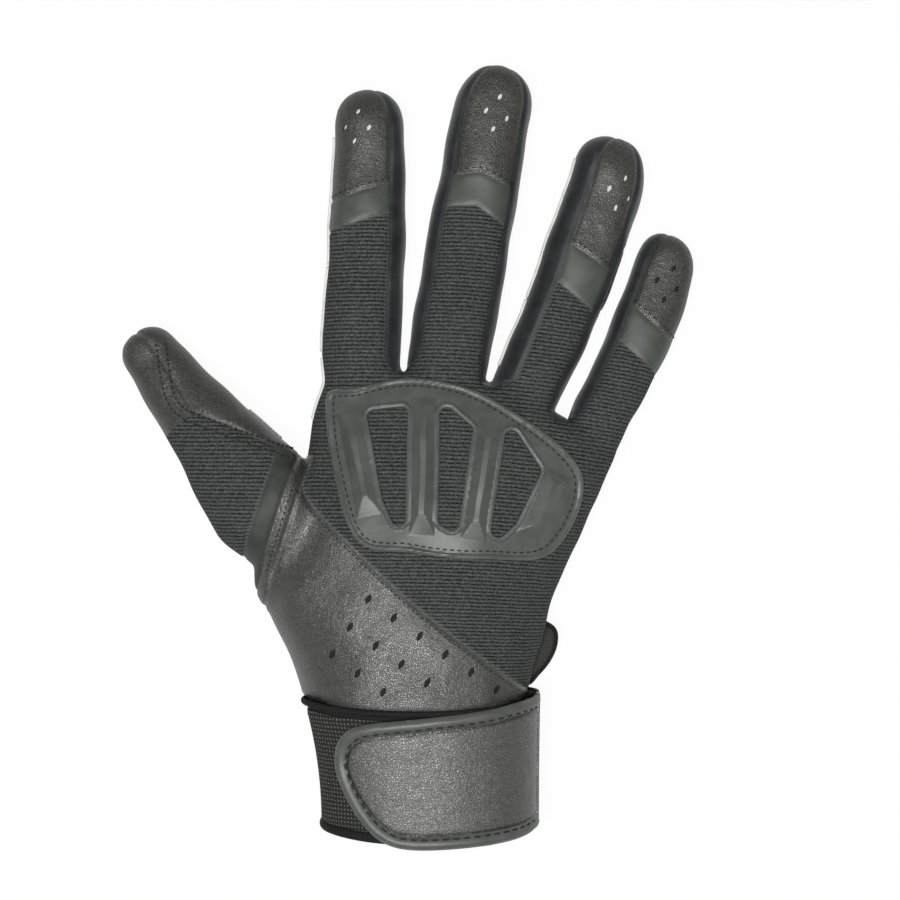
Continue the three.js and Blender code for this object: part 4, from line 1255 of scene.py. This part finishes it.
def window_corners(left, right):
    """Centres of the round corners of the window between two ribs."""
    reach = RIB_WIDTH / 2 + WINDOW_MARGIN + WINDOW_CORNER
    corners = []
    for rib, aside in ((left, reach), (right, -reach)):
        step = rib[1] - rib[0]
        square = np.array([-step[1], step[0]]) / np.linalg.norm(step)
        corners.append([mix(rib[0], rib[1], t) + square * aside for t in (WINDOW_TRIM, 1 - WINDOW_TRIM)])
    return np.array([corners[0][0], corners[0][1], corners[1][1], corners[1][0]])


window_fields = [inside(window_corners(left, right)) for left, right in zip(GUARD_RIBS, GUARD_RIBS[1:])]


def outside_windows(at):
    return -np.max([field(at) for field in window_fields], 0) - WINDOW_CORNER


def guard_height(at):
    """Ribs on the flange, with a raised lip round every edge."""
    edge = np.minimum(in_guard(at), outside_windows(at))
    return rib_height(at) + LIP_RISE * (1 - smoothstep(edge, LIP_FROM, LIP_TO))


def scored(cloth, field):
    """Cloth whose triangles follow a field's zero line."""
    return joined(*cloth.part(field))


guard_outline = closed_through(GUARD_OUTLINE, 12)
in_guard = inside(guard_outline)
guard_cloth, _ = knit_cloth.part(in_guard)
guard_cloth, _ = guard_cloth.part(outside_windows)
guard_cloth = guard_cloth.refined(np.ones(len(guard_cloth.at), bool), ROLL_EDGE)
for rib in GUARD_RIBS:
    for width in (RIB_CREST, RIB_WIDTH):
        guard_cloth = scored(guard_cloth, lambda at: rib_place(rib, at)[0] - width / 2)
guard = dressed(
    "knuckle_guard", "moulding", guard_cloth, GUARD_RUBBER, "rubber", ON_HAND,
    lift=guard_height, **GUARD_SEWING,
)
guard.data.set_sharp_from_angle(angle=np.radians(GUARD_CREASE))
print("guard:", len(guard.data.polygons), "faces")

# %% [markdown]
# ## Cuff
# The cuff is a woven band round the wrist with a patch of loop cloth on its back, bound with tape
# above and below and open on the little-finger side. A welt inside closes the gap to the hand.
# Everything here is laid on one rounded wrist section, so a helper gives cloth on that section
# between two angles, and patterns use the unrolled band.

# %% Wrist section and cuff pieces
CUFF_TOP, CUFF_BOTTOM = (-40.4, 26, -40.4), (-35, 25.6, -76.4)
CUFF_FROM, CUFF_TO, CUFF_WALL = 7, 349, 1.6
WELT_UP, WELT_DOWN, WELT_OFFSET, WELT_THICK = 0.8, 2.5, -2.0, 0.7
LOOP_FROM, LOOP_TO, LOOP_TOP, LOOP_OFFSET, LOOP_THICK = 56, 168, -43.7, 1.1, 0.8
UNROLL_Y, UNROLL_OFFSET = -60.0, 2.0
WRIST_X, WRIST_MIDDLE = -7, CUFF_FLOOR + CUFF_HEIGHT / 2
TAPE_STEPS, TAPE_SIDES = 160, 12
TOP_CORD_DROP, TOP_CORD = 1.1, dict(offset=0.65, wide=1.9, tall=1.6)
BOTTOM_TAPE_DROP, BOTTOM_TAPE = 1.6, dict(offset=-0.35, wide=3.2, tall=2.6)


def wrist_sides(y):
    """Left and right edge of the wrist section at a height y."""
    down = np.clip((CUFF_TOP[2] - y) / (CUFF_TOP[2] - CUFF_BOTTOM[2]), 0, 1)
    t = 1 - (1 - down) ** 2
    return mix(CUFF_TOP[0], CUFF_BOTTOM[0], t), mix(CUFF_TOP[1], CUFF_BOTTOM[1], t)


def wrist_point(angle, y, offset):
    """Points of the wrist section at angles and heights y, moved outwards by an offset."""
    left, right = wrist_sides(y)
    cosine, sine = np.cos(np.radians(angle)), np.sin(np.radians(angle))
    power = 2 / BACK_ROUNDNESS
    x = (left + right) / 2 + ((right - left) / 2 + offset) * signed_power(cosine, power)
    z = WRIST_MIDDLE + (CUFF_HEIGHT / 2 + offset) * signed_power(sine, power)
    return np.stack(np.broadcast_arrays(x, y - CUFF_DIP * np.maximum(sine, 0) ** 2, z), -1)


def wrist_angle(at):
    left, right = wrist_sides(at[:, 1])
    across = (at[:, 0] - (left + right) / 2) / ((right - left) / 2)
    up = (at[:, 2] - WRIST_MIDDLE) / (CUFF_HEIGHT / 2)
    bend = BACK_ROUNDNESS / 2
    return np.degrees(np.arctan2(signed_power(up, bend), signed_power(across, bend)))


turns = np.arange(-180, 361, 1.0)
turn_points = wrist_point(turns, UNROLL_Y, UNROLL_OFFSET)
turn_arc = np.concatenate([[0], np.cumsum(np.linalg.norm(np.diff(turn_points, axis=0), axis=1))])


def arc_at(angle):
    """Arc length round the wrist up to an angle."""
    return np.interp(angle, turns, turn_arc)


def unrolled(at, seam=-90):
    """Place on the flattened cuff: arc length, y and nothing, cut open at an angle."""
    angle = (wrist_angle(at) - seam) % 360 + seam
    return np.stack([arc_at(angle), at[:, 1], np.zeros(len(at))], 1)


def wrist_cloth(start, end, top, bottom, offset):
    """Cloth on the wrist section between two angles and two heights; offset may vary with the angle."""
    columns = int(arc_at(end) - arc_at(start)) + 2
    rows = int(top - bottom) + 2
    angle = np.interp(np.linspace(arc_at(start), arc_at(end), columns), turn_arc, turns)
    y = np.linspace(top, bottom, rows)
    offset = np.broadcast_to(offset(angle) if callable(offset) else offset, columns)
    grid = wrist_point(angle[:, None], y[None, :], offset[:, None])
    out = np.cross(np.gradient(grid, axis=0), np.gradient(grid, axis=1))
    out = -out / np.linalg.norm(out, axis=2, keepdims=True)
    i, k = np.meshgrid(np.arange(columns - 1), np.arange(rows - 1), indexing="ij")
    a = (i * rows + k).ravel()
    faces = np.concatenate([np.stack([a, a + rows + 1, a + rows], 1), np.stack([a, a + 1, a + rows + 1], 1)])
    cloth = Cloth(grid.reshape(-1, 3), out.reshape(-1, 3), faces)
    if np.einsum("ij,ij->i", cloth.out, outward(cloth.at, cloth.faces)).sum() < 0:
        cloth.faces = faces[:, ::-1]
    if ((cloth.at[:, [0, 2]] - (WRIST_X, WRIST_MIDDLE)) * cloth.out[:, [0, 2]]).sum() < 0:
        cloth.out, cloth.faces = -cloth.out, cloth.faces[:, ::-1]
    return cloth


def swept(name, path, out, wide, tall, finish, motion, nodes=()):
    """A rounded tape or cord along a path; out is its upper side."""
    ahead = np.gradient(path, axis=0)
    side = np.cross(out, ahead)
    side /= np.linalg.norm(side, axis=1, keepdims=True)
    turn = np.linspace(0, 2 * np.pi, TAPE_SIDES, endpoint=False)
    rings = [
        point + np.outer(np.cos(turn), across) * wide / 2 + np.outer(np.sin(turn), up) * tall / 2
        for point, across, up in zip(path, side, out)
    ]
    points, faces = loft(rings)
    return placed(solid_piece(name, points, faces, finish, points), motion, nodes)


def wrist_tape(name, y, nodes, offset, wide, tall):
    """A bound edge round the wrist at a height y."""
    angle = np.linspace(CUFF_FROM, CUFF_TO, TAPE_STEPS)
    path = wrist_point(angle, y, offset)
    out = wrist_point(angle, y, offset + 1) - path
    return swept(name, path, out, wide, tall, TAPE, ON_HAND, nodes)


on_wrist = dict(motion=ON_HAND, pattern=unrolled)
cuff = wrist_cloth(CUFF_FROM, CUFF_TO, CUFF_TOP[2] - 1, CUFF_BOTTOM[2], 0.0)
dressed("cuff_band", "cloth", cuff, TAPE, "webbing", thick=CUFF_WALL, roll=0.3, **on_wrist)
welt = wrist_cloth(CUFF_FROM, CUFF_TO, CUFF_TOP[2] + WELT_UP, CUFF_TOP[2] - WELT_DOWN, WELT_OFFSET)
sewn("cuff_welt_cloth", welt, TAPE, "webbing", thick=WELT_THICK, roll=0, **on_wrist)
loop = wrist_cloth(LOOP_FROM, LOOP_TO, LOOP_TOP, CUFF_BOTTOM[2], LOOP_OFFSET)
loop_sewing = dict(nodes=["cuff_loop_patch"], thick=LOOP_THICK, roll=0.5)
sewn("cuff_loop_cloth", loop, CUFF_LOOP, "webbing", **loop_sewing, **on_wrist)
wrist_tape("cuff_top_cord", CUFF_TOP[2] - TOP_CORD_DROP, ["cuff_top_binding"], **TOP_CORD)
wrist_tape("cuff_bottom_tape", CUFF_BOTTOM[2] - BOTTOM_TAPE_DROP, ["cuff_bottom_binding"], **BOTTOM_TAPE)
print("cuff:", len(cuff.faces), "triangles in the band")

# %% [markdown]
# ## Strap
# The strap is sewn down on the little-finger side and closes over the cuff. Its outline slants
# and its free end is rounded more below than above. The outline is drawn on the unrolled cuff,
# and the distance from it gives the rolled film rim, the groove inside it and the stitch line.

# %% Strap, rim, hooks and anchor
STRAP_TOP, STRAP_THICK, RIM_WIDTH, RIM_RISE, RIM_POWER = 3.3, 0.8, 4.0, 0.9, 0.7
STRAP_ROOT, ROOT_OFFSET, ROOT_THICK = 4, 2.2, 0.5
ROOT_BACK, ROOT_AHEAD, ROOT_TOP, ROOT_BOTTOM = 14, 8, -40.2, -78
HOOK_FROM, HOOK_TO, HOOK_TOP, HOOK_BOTTOM, HOOK_OFFSET, HOOK_INSET = 84, 130, -50, -76, 2.2, 6
ANCHOR_FROM, ANCHOR_FULL, ANCHOR_TOP, ANCHOR_BOTTOM, ANCHOR_GAP = -56, -10, -38.8, -78.8, 0.6
ANCHOR_LOW, ANCHOR_HIGH = 2.5, 4.0
STRAP_OUTLINE = [
    # angle round the wrist, y; from the lower root round the free end to the upper root
    (STRAP_ROOT, -78.6), (40, -80.8), (75, -82.3), (94, -82.6), (106, -80.8), (117, -76),
    (127, -68.8), (133, -61.5), (133, -56.5), (128, -51.4), (119, -47.8), (108, -46.2),
    (91, -44.9), (60, -42.6), (37, -40.8), (STRAP_ROOT, -39.4),
]
# end angle, top and bottom of the cloth that the strap is cut from
STRAP_BLANK = (142, -34, -88)
STRAP_BEND_START, STRAP_BEND_END = (30, -62, 23), (20, -62, 38)
strap_moves = bends(STRAP_BEND_START, STRAP_BEND_END)
strap_line = np.array([(arc_at(angle), y) for angle, y in STRAP_OUTLINE])
strap_line = through(strap_line, 120)
from_strap_edge = side_of(strap_line)


def strap_depth(at):
    """How far inside the strap's outline a point lies."""
    return from_strap_edge(unrolled(at))


def rim_rise(at):
    """Height of the rolled film along the strap's edge."""
    share = np.clip(strap_depth(at) / RIM_WIDTH, 0, 1)
    return RIM_RISE * np.sin(np.pi * share**RIM_POWER)


def anchor_offset(angle):
    return mix(ANCHOR_LOW, ANCHOR_HIGH, smoothstep(angle, ANCHOR_FROM, ANCHOR_FULL))


on_strap = dict(motion=strap_moves, pattern=unrolled)
strap_cloth = wrist_cloth(STRAP_ROOT, *STRAP_BLANK, STRAP_TOP)
strap_cloth, _ = strap_cloth.part(strap_depth)
inner, rim = strap_cloth.part(lambda at: strap_depth(at) - RIM_WIDTH)
dressed("strap_leather", "panel", inner, STRAP_LEATHER, "leather", thick=STRAP_THICK, roll=0.3, **on_strap)
rim_sewing = dict(nodes=["strap_binding"], thick=STRAP_THICK, roll=0.5, reach=0.9, lift=rim_rise)
sewn("strap_rim_film", rim, RIM_FILM, "leather", **rim_sewing, **on_strap)
hooks = wrist_cloth(HOOK_FROM, HOOK_TO, HOOK_TOP, HOOK_BOTTOM, HOOK_OFFSET)
hooks, _ = hooks.part(lambda at: strap_depth(at) - HOOK_INSET)
hook_sewing = dict(nodes=["strap_hook_patch"], thick=0.7, roll=0.1)
sewn("strap_hook_cloth", hooks, HOOK_CLOTH, "webbing", **hook_sewing, **on_strap)
root = wrist_cloth(STRAP_ROOT - ROOT_BACK, STRAP_ROOT + ROOT_AHEAD, ROOT_TOP, ROOT_BOTTOM, ROOT_OFFSET)
sewn("strap_root_tape", root, TAPE, "webbing", thick=ROOT_THICK, roll=0, **on_wrist)
anchor = wrist_cloth(ANCHOR_FROM, STRAP_ROOT - ANCHOR_GAP, ANCHOR_TOP, ANCHOR_BOTTOM, anchor_offset)
dressed("strap_anchor", "panel", anchor, STRAP_LEATHER, "leather", thick=1.2, roll=0.4, **on_wrist)
print("strap:", len(strap_cloth.faces), "triangles, outline", len(strap_line), "points")

# %% [markdown]
# ## Vent tab
# A small bound tab of cloth closes the slit at the wrist on the little-finger side. It is a
# cushion of rings round its outline, with a tape round the edge.

# %% Vent tab
VENT_OUTLINE = [
    (25.5, -18.6), (30.6, -19.2), (34.6, -21.6), (35, -26),
    (33, -30.8), (29.6, -35), (26.4, -37.6), (24.5, -30),
]
VENT_Z, VENT_TALL, VENT_ROWS, VENT_POWER = 9.4, 3.0, 17, 0.6
VENT_TAPE_WIDE, VENT_TAPE_TALL = 1.5, 2.4


def level_path(plan, z):
    """A plan curve at one height."""
    return np.column_stack([plan, np.full(len(plan), z)])


vent_outline = closed_through(VENT_OUTLINE, 8)
vent_rings = []
for turn in np.radians(np.linspace(-POLE, POLE, VENT_ROWS)):
    plan = mix(vent_outline.mean(0), vent_outline, np.cos(turn) ** VENT_POWER)
    vent_rings.append(level_path(plan, VENT_Z + VENT_TALL / 2 * np.sin(turn)))
points, faces = loft(vent_rings)
cushion = solid_piece("vent_flap_cushion", points, faces, VENT_CLOTH, points)
placed(cushion, ON_HAND, ["vent_flap"])
vent_path = level_path(vent_outline, VENT_Z)
up = np.tile((0.0, 0.0, 1.0), (len(vent_path), 1))
swept("vent_flap_tape", vent_path, up, VENT_TAPE_WIDE, VENT_TAPE_TALL, TAPE, ON_HAND)
print("vent tab:", len(vent_outline), "points round")

# %% [markdown]
# ## Stitches
# Thread holds every overlay: rows along the fingertip seams, a double row down the thumb, and
# rows along the back seam, the guard and the strap. A Geometry Nodes tree sets one bead of
# thread at each step along a line. Rows that move together share one line mesh, so the
# result is one mesh for each body. Each row is first laid on the surface that it is sewn to.


# %% A tree that sews a row
def stitch_tree():
    tree = bpy.data.node_groups.new("stitch row", "GeometryNodeTree")
    tree.interface.new_socket("Seam", in_out="INPUT", socket_type="NodeSocketGeometry")
    for name in ("Pitch", "Length", "Thickness"):
        tree.interface.new_socket(name, in_out="INPUT", socket_type="NodeSocketFloat")
    tree.interface.new_socket("Thread", in_out="INPUT", socket_type="NodeSocketMaterial")
    tree.interface.new_socket("Stitches", in_out="OUTPUT", socket_type="NodeSocketGeometry")
    graph = Graph(tree)
    given = tree.nodes.new("NodeGroupInput")
    seam, pitch, length, thick, thread = (Signal(graph, given.outputs[k]) for k in range(5))
    curve = graph.add("GeometryNodeMeshToCurve", None, {"Mesh": seam})
    steps = tree.nodes.new("GeometryNodeCurveToPoints")
    steps.mode = "LENGTH"
    tree.links.new(curve.socket, steps.inputs["Curve"])
    tree.links.new(pitch.socket, steps.inputs["Length"])
    points, tangent = (Signal(graph, steps.outputs[name]) for name in ("Points", "Tangent"))
    turn = graph.add("FunctionNodeAlignRotationToVector", dict(axis="X"), {"Vector": tangent})
    bead = graph.add("GeometryNodeMeshUVSphere", None, {"Segments": 8, "Rings": 5, "Radius": 0.5})
    size = graph.add("ShaderNodeCombineXYZ", None, {0: length, 1: thick, 2: thick})
    bead = graph.add("GeometryNodeTransform", None, {"Geometry": bead, "Scale": size})
    beads = {"Points": points, "Instance": bead, "Rotation": turn}
    row = graph.add("GeometryNodeInstanceOnPoints", None, beads)
    row = graph.add("GeometryNodeRealizeInstances", None, {"Geometry": row})
    place = graph.add("GeometryNodeInputPosition")
    place = graph.add("ShaderNodeVectorMath", dict(operation="SCALE"), {0: place, "Scale": 1 / MM})
    row = graph.add(
        "GeometryNodeStoreNamedAttribute", dict(data_type="FLOAT_VECTOR", domain="POINT"),
        {"Geometry": row, "Name": "pattern", "Value": place},
    )
    row = graph.add("GeometryNodeSetShadeSmooth", None, {"Geometry": row})
    row = graph.add("GeometryNodeSetMaterial", None, {"Geometry": row, "Material": thread})
    graph.add("NodeGroupOutput", None, {"Stitches": row})
    return tree


STITCH_ROW = stitch_tree()


def sew_rows(name, rows, motion, slot, pitch, length, thick):
    """One mesh of stitches along rows of points in millimetres."""
    starts = np.cumsum([0] + [len(row) for row in rows])
    lines = [(start + i, start + i + 1) for start, row in zip(starts, rows) for i in range(len(row) - 1)]
    line_mesh = bpy.data.meshes.new(name + "_seam")
    line_mesh.from_pydata((np.concatenate(rows) * MM).tolist(), lines, [])
    seam = linked(name + "_seam", line_mesh)
    sewing = seam.modifiers.new("stitches", "NODES")
    sewing.node_group = STITCH_ROW
    values = dict(Pitch=pitch * MM, Length=length * MM, Thickness=thick * MM, Thread=THREAD)
    for socket in STITCH_ROW.interface.items_tree:
        if socket.name in values:
            sewing[socket.identifier] = values[socket.name]
    mesh = evaluated_mesh(seam)
    mesh.name = name
    return placed(linked(name, mesh), motion)


# %% [markdown]
# ### Where the rows run
# A row on a fingertip is laid on the nearest place of the skin, and the rows on the back are
# dropped from above. The strap's row is drawn on the unrolled cuff, like the strap itself.

# %% Lay the rows on the glove
form_tree = BVHTree.FromPolygons(form_at.tolist(), form_faces.tolist())
STITCH_LIFT, THUMB_LIFT, RAY_HEIGHT = 0.05, 0.2, 90.0
# pitch, length and thickness of the stitches in a row
TIP_THREAD, THUMB_THREAD, BACK_THREAD = (1.9, 1.3, 0.42), (1.7, 1.25, 0.6), (1.7, 1.15, 0.42)
GUARD_THREAD, STRAP_THREAD = (2.1, 1.5, 0.5), (3.1, 2.2, 0.6)
TIP_ROW_ASIDE, TIP_ROW_TRIM, BACK_ROW_ASIDE, STRAP_ROW_INSET = 1.5, 3, -1.5, 0.9
THUMB_ROW = [(-84.1, 64.6), (-82.6, 56), (-80.8, 49.1), (-76.6, 44), (-66, 39.6), (-55.1, 35.7), (-45, 32.2)]
THUMB_ROW_APART = 2.8


def laid(points):
    """Points moved onto the nearest place of the stretched skin."""
    return np.array([form_tree.find_nearest(point)[0] for point in points]) + (0, 0, STITCH_LIFT)


def laid_from_above(plan, raised=None):
    """Plan points dropped onto the stretched skin and raised from it; points that miss are left out."""
    hits = [form_tree.ray_cast((x, y, RAY_HEIGHT), (0.0, 0.0, -1.0)) for x, y in plan]
    kept = [(hit, normal) for hit, normal, _, _ in hits if hit is not None]
    at, out = np.moveaxis(np.array(kept), 1, 0)
    return at + out * (raised(at)[:, None] if raised else 0.0)


def moved_aside(plan, by):
    """A plan curve moved sideways, to its left where by is positive."""
    ahead = np.gradient(plan, axis=0)
    ahead /= np.linalg.norm(ahead, axis=1, keepdims=True)
    return plan + np.column_stack([-ahead[:, 1], ahead[:, 0]]) * by


def tip_row(finger):
    """A row across a finger's back beside the leather tip's slanted seam."""
    right, left, peak = finger["high"]
    start, end = finger["back"]
    angle = np.linspace(start + TIP_ROW_TRIM, end - TIP_ROW_TRIM, 40)
    share = signed_power(np.cos(np.radians(angle)), 2 / STALL_ROUNDNESS)
    along = mix(right, left, (1 - share) / 2) + peak * (1 - np.abs(share)) + TIP_ROW_ASIDE
    return laid(stall_point(finger, along, angle))


for name, finger in FINGERS.items():
    sew_rows(f"{name}_tip_stitches", [tip_row(finger)], finger_moves[name][1], "leather", *TIP_THREAD)
thumb_line = through(THUMB_ROW, 90)
thumb_rows = []
for side in (-1, 1):
    plan = moved_aside(thumb_line, side * THUMB_ROW_APART / 2)
    thumb_rows.append(laid_from_above(plan, lambda at: np.full(len(at), THUMB_LIFT)))
past_joint = [stall_frame(THUMB, row)[0] > THUMB["joint"] for row in thumb_rows]
upper_rows = [row[past] for row, past in zip(thumb_rows, past_joint)]
lower_rows = [row[~past & (thumb_side(row) > 0)] for row, past in zip(thumb_rows, past_joint)]
sew_rows("thumb_tip_stitches", upper_rows, thumb_bend, "leather", *THUMB_THREAD)
sew_rows("thumb_side_stitches", lower_rows, thumb_swing, "leather", *THUMB_THREAD)

strip_line = np.linspace(THUMB_FOLD[0], THUMB_FOLD[1], 40)[3:34] + (STRIP_WIDTH / 2, 0)
hand_rows = [laid_from_above(moved_aside(back_seam[6:], BACK_ROW_ASIDE)), laid_from_above(strip_line)]
sew_rows("back_stitches", hand_rows, ON_HAND, "leather", *BACK_THREAD)
guard_row = moved_aside(np.vstack([guard_outline, guard_outline[:1]]), -GUARD_ROW)
sew_rows("guard_stitches", [laid_from_above(guard_row, guard_height)], ON_HAND, "rubber", *GUARD_THREAD)

strap_row = moved_aside(strap_line, RIM_WIDTH - STRAP_ROW_INSET)[3:-3]
row_angle = np.interp(strap_row[:, 0], turn_arc, turns)
row_y = strap_row[:, 1] + CUFF_DIP * np.maximum(np.sin(np.radians(row_angle)), 0) ** 2
row_rise = rim_rise(wrist_point(row_angle, row_y, STRAP_TOP))
strap_row = wrist_point(row_angle, row_y, STRAP_TOP + row_rise)
sew_rows("strap_stitches", [strap_row], strap_moves, "leather", *STRAP_THREAD)
print("stitch rows:", [piece.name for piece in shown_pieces() if "stitches" in piece.name])

# %% [markdown]
# ## Cut edges
# Where two panels are sewn edge to edge on the outside, the leather's undyed core shows as a thin
# white line: along the outer side of the index finger, the inner side of the ring finger and the
# thumb. Each is a narrow tape laid in the seam with its edge standing a little proud.


# %% White lines in the outer seams
HAND_EDGE, HAND_EDGE_RISE = [(-35.6, 60.8), (-37, 52), (-38.6, 42.5)], 1.0
EDGE_WIDE, EDGE_TALL, EDGE_GAP, EDGE_START = 1.2, 1.3, 0.3, 1
# angle round the finger of each white seam, and how far along the finger it runs
FINGER_EDGES = dict(index=(173, 66), ring=(170, 68))
THUMB_EDGE = (348, 12, 25)


def cut_edge(name, path, motion):
    """A white edge along a path, laid on the stretched skin."""
    path, out = (np.array(rows) for rows in zip(*(form_tree.find_nearest(point)[:2] for point in path)))
    return swept(name, path, out, EDGE_WIDE, EDGE_TALL, CUT_EDGE, motion)


def stall_edge(stall, angle, start, end):
    return stall_point(stall, np.linspace(start, end, int(end - start) + 2), angle)


for name, (angle, end) in FINGER_EDGES.items():
    finger, joint = FINGERS[name], FINGERS[name]["joint"]
    spans = dict(lower=(EDGE_START, joint - EDGE_GAP), upper=(joint + EDGE_GAP, end))
    for (level, span), motion in zip(spans.items(), finger_moves[name]):
        cut_edge(f"{name}_cut_edge_{level}", stall_edge(finger, angle, *span), motion)
cut_edge("thumb_cut_edge", stall_edge(THUMB, *THUMB_EDGE), thumb_swing)
cut_edge("hand_cut_edge", level_path(through(HAND_EDGE, 24), SIDE_SEAM_Z + HAND_EDGE_RISE), ON_HAND)
print("cut edges:", [piece.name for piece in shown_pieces() if "cut_edge" in piece.name])

# %% [markdown]
# ## Floor, light and camera
# The glove lies on a white table under a wide soft lamp, seen straight from above. The table is a
# pale floor that shows nearly white to the camera and still takes the glove's shadow. The lamps
# are low enough that a colour comes out about as it is written.

# %% Stage
FLOOR_DROP, FLOOR_SIZE, FLOOR_WHITE = 0.3, 4.0, 0.94
CAMERA_AT, LENS, SENSOR = (3.0, 33.0, 656.0), 85, 36
LAMP_AIM, AMBIENT, WHITE = (0, 0.03, 0), 0.15, (1, 1, 1, 1)


def floor_finish():
    finish = Finish("white table")
    cloud = finish.noise(finish.add("ShaderNodeTexCoord", output="Object"), 9.0, 3.0)
    pale = finish.shade(cloud, tone(236, 236, 236), tone(244, 244, 244))
    matt = finish.add("ShaderNodeBsdfDiffuse", None, {"Color": pale})
    white = finish.add("ShaderNodeEmission", None, {"Color": WHITE, "Strength": 1.0})
    kinds = "Camera", "Glossy", "Transmission"
    direct, glossy, clear = (finish.add("ShaderNodeLightPath", output=f"Is {kind} Ray") for kind in kinds)
    seen = direct + glossy + clear
    shader = finish.add("ShaderNodeMixShader", None, {0: seen * FLOOR_WHITE, 1: matt, 2: white})
    finish.add("ShaderNodeOutputMaterial", None, {"Surface": shader})
    return finish.material


def lamp(name, at, size, power):
    data = bpy.data.lights.new(name, "AREA")
    data.shape = "DISK"
    data.size = size
    data.energy = power
    light = linked(name, data)
    light.location = at
    light.rotation_euler = (Vector(LAMP_AIM) - Vector(at)).to_track_quat("-Z", "Y").to_euler()


floor_mesh = bpy.data.meshes.new("table")
half, level = FLOOR_SIZE / 2, -FLOOR_DROP * MM
corners = [(-half, -half, level), (half, -half, level), (half, half, level), (-half, half, level)]
floor_mesh.from_pydata(corners, [], [(0, 1, 2, 3)])
floor_mesh.materials.append(floor_finish())
table = linked("table", floor_mesh)
table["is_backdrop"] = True

lamp("overhead softbox", (-0.1, -0.06, 1.08), 0.4, 11.4)
lamp("right fill", (0.8, -0.1, 0.7), 0.6, 0.4)

world = bpy.data.worlds.new("studio")
world.use_nodes = True
scene.world = world
studio = Graph(world.node_tree)
ray = studio.add("ShaderNodeLightPath", output="Is Camera Ray")
strength = studio.add("ShaderNodeMapRange", None, {"Value": ray, "To Min": AMBIENT, "To Max": 1.0})
background = studio.add("ShaderNodeBackground", None, {"Color": WHITE, "Strength": strength})
studio.add("ShaderNodeOutputWorld", None, {"Surface": background})

camera_data = bpy.data.cameras.new("camera above")
camera_data.lens = LENS
camera_data.sensor_width = SENSOR
camera = linked("camera above", camera_data)
camera.location = tuple(value * MM for value in CAMERA_AT)
scene.camera = camera
scene.view_settings.view_transform = "Standard"

# %% [markdown]
# ## Sizes
# The boxes of the solids and of the dressed glove are printed side by side.

# %% Sizes of the solids and the dressed glove
dressed_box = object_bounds()
cad, visual = ([list(map(float, corner)) for corner in box] for box in (cad_box, dressed_box))
boxes = dict(cad=cad, visual=visual)
print("cad box", cad_box, "dressed box", dressed_box)
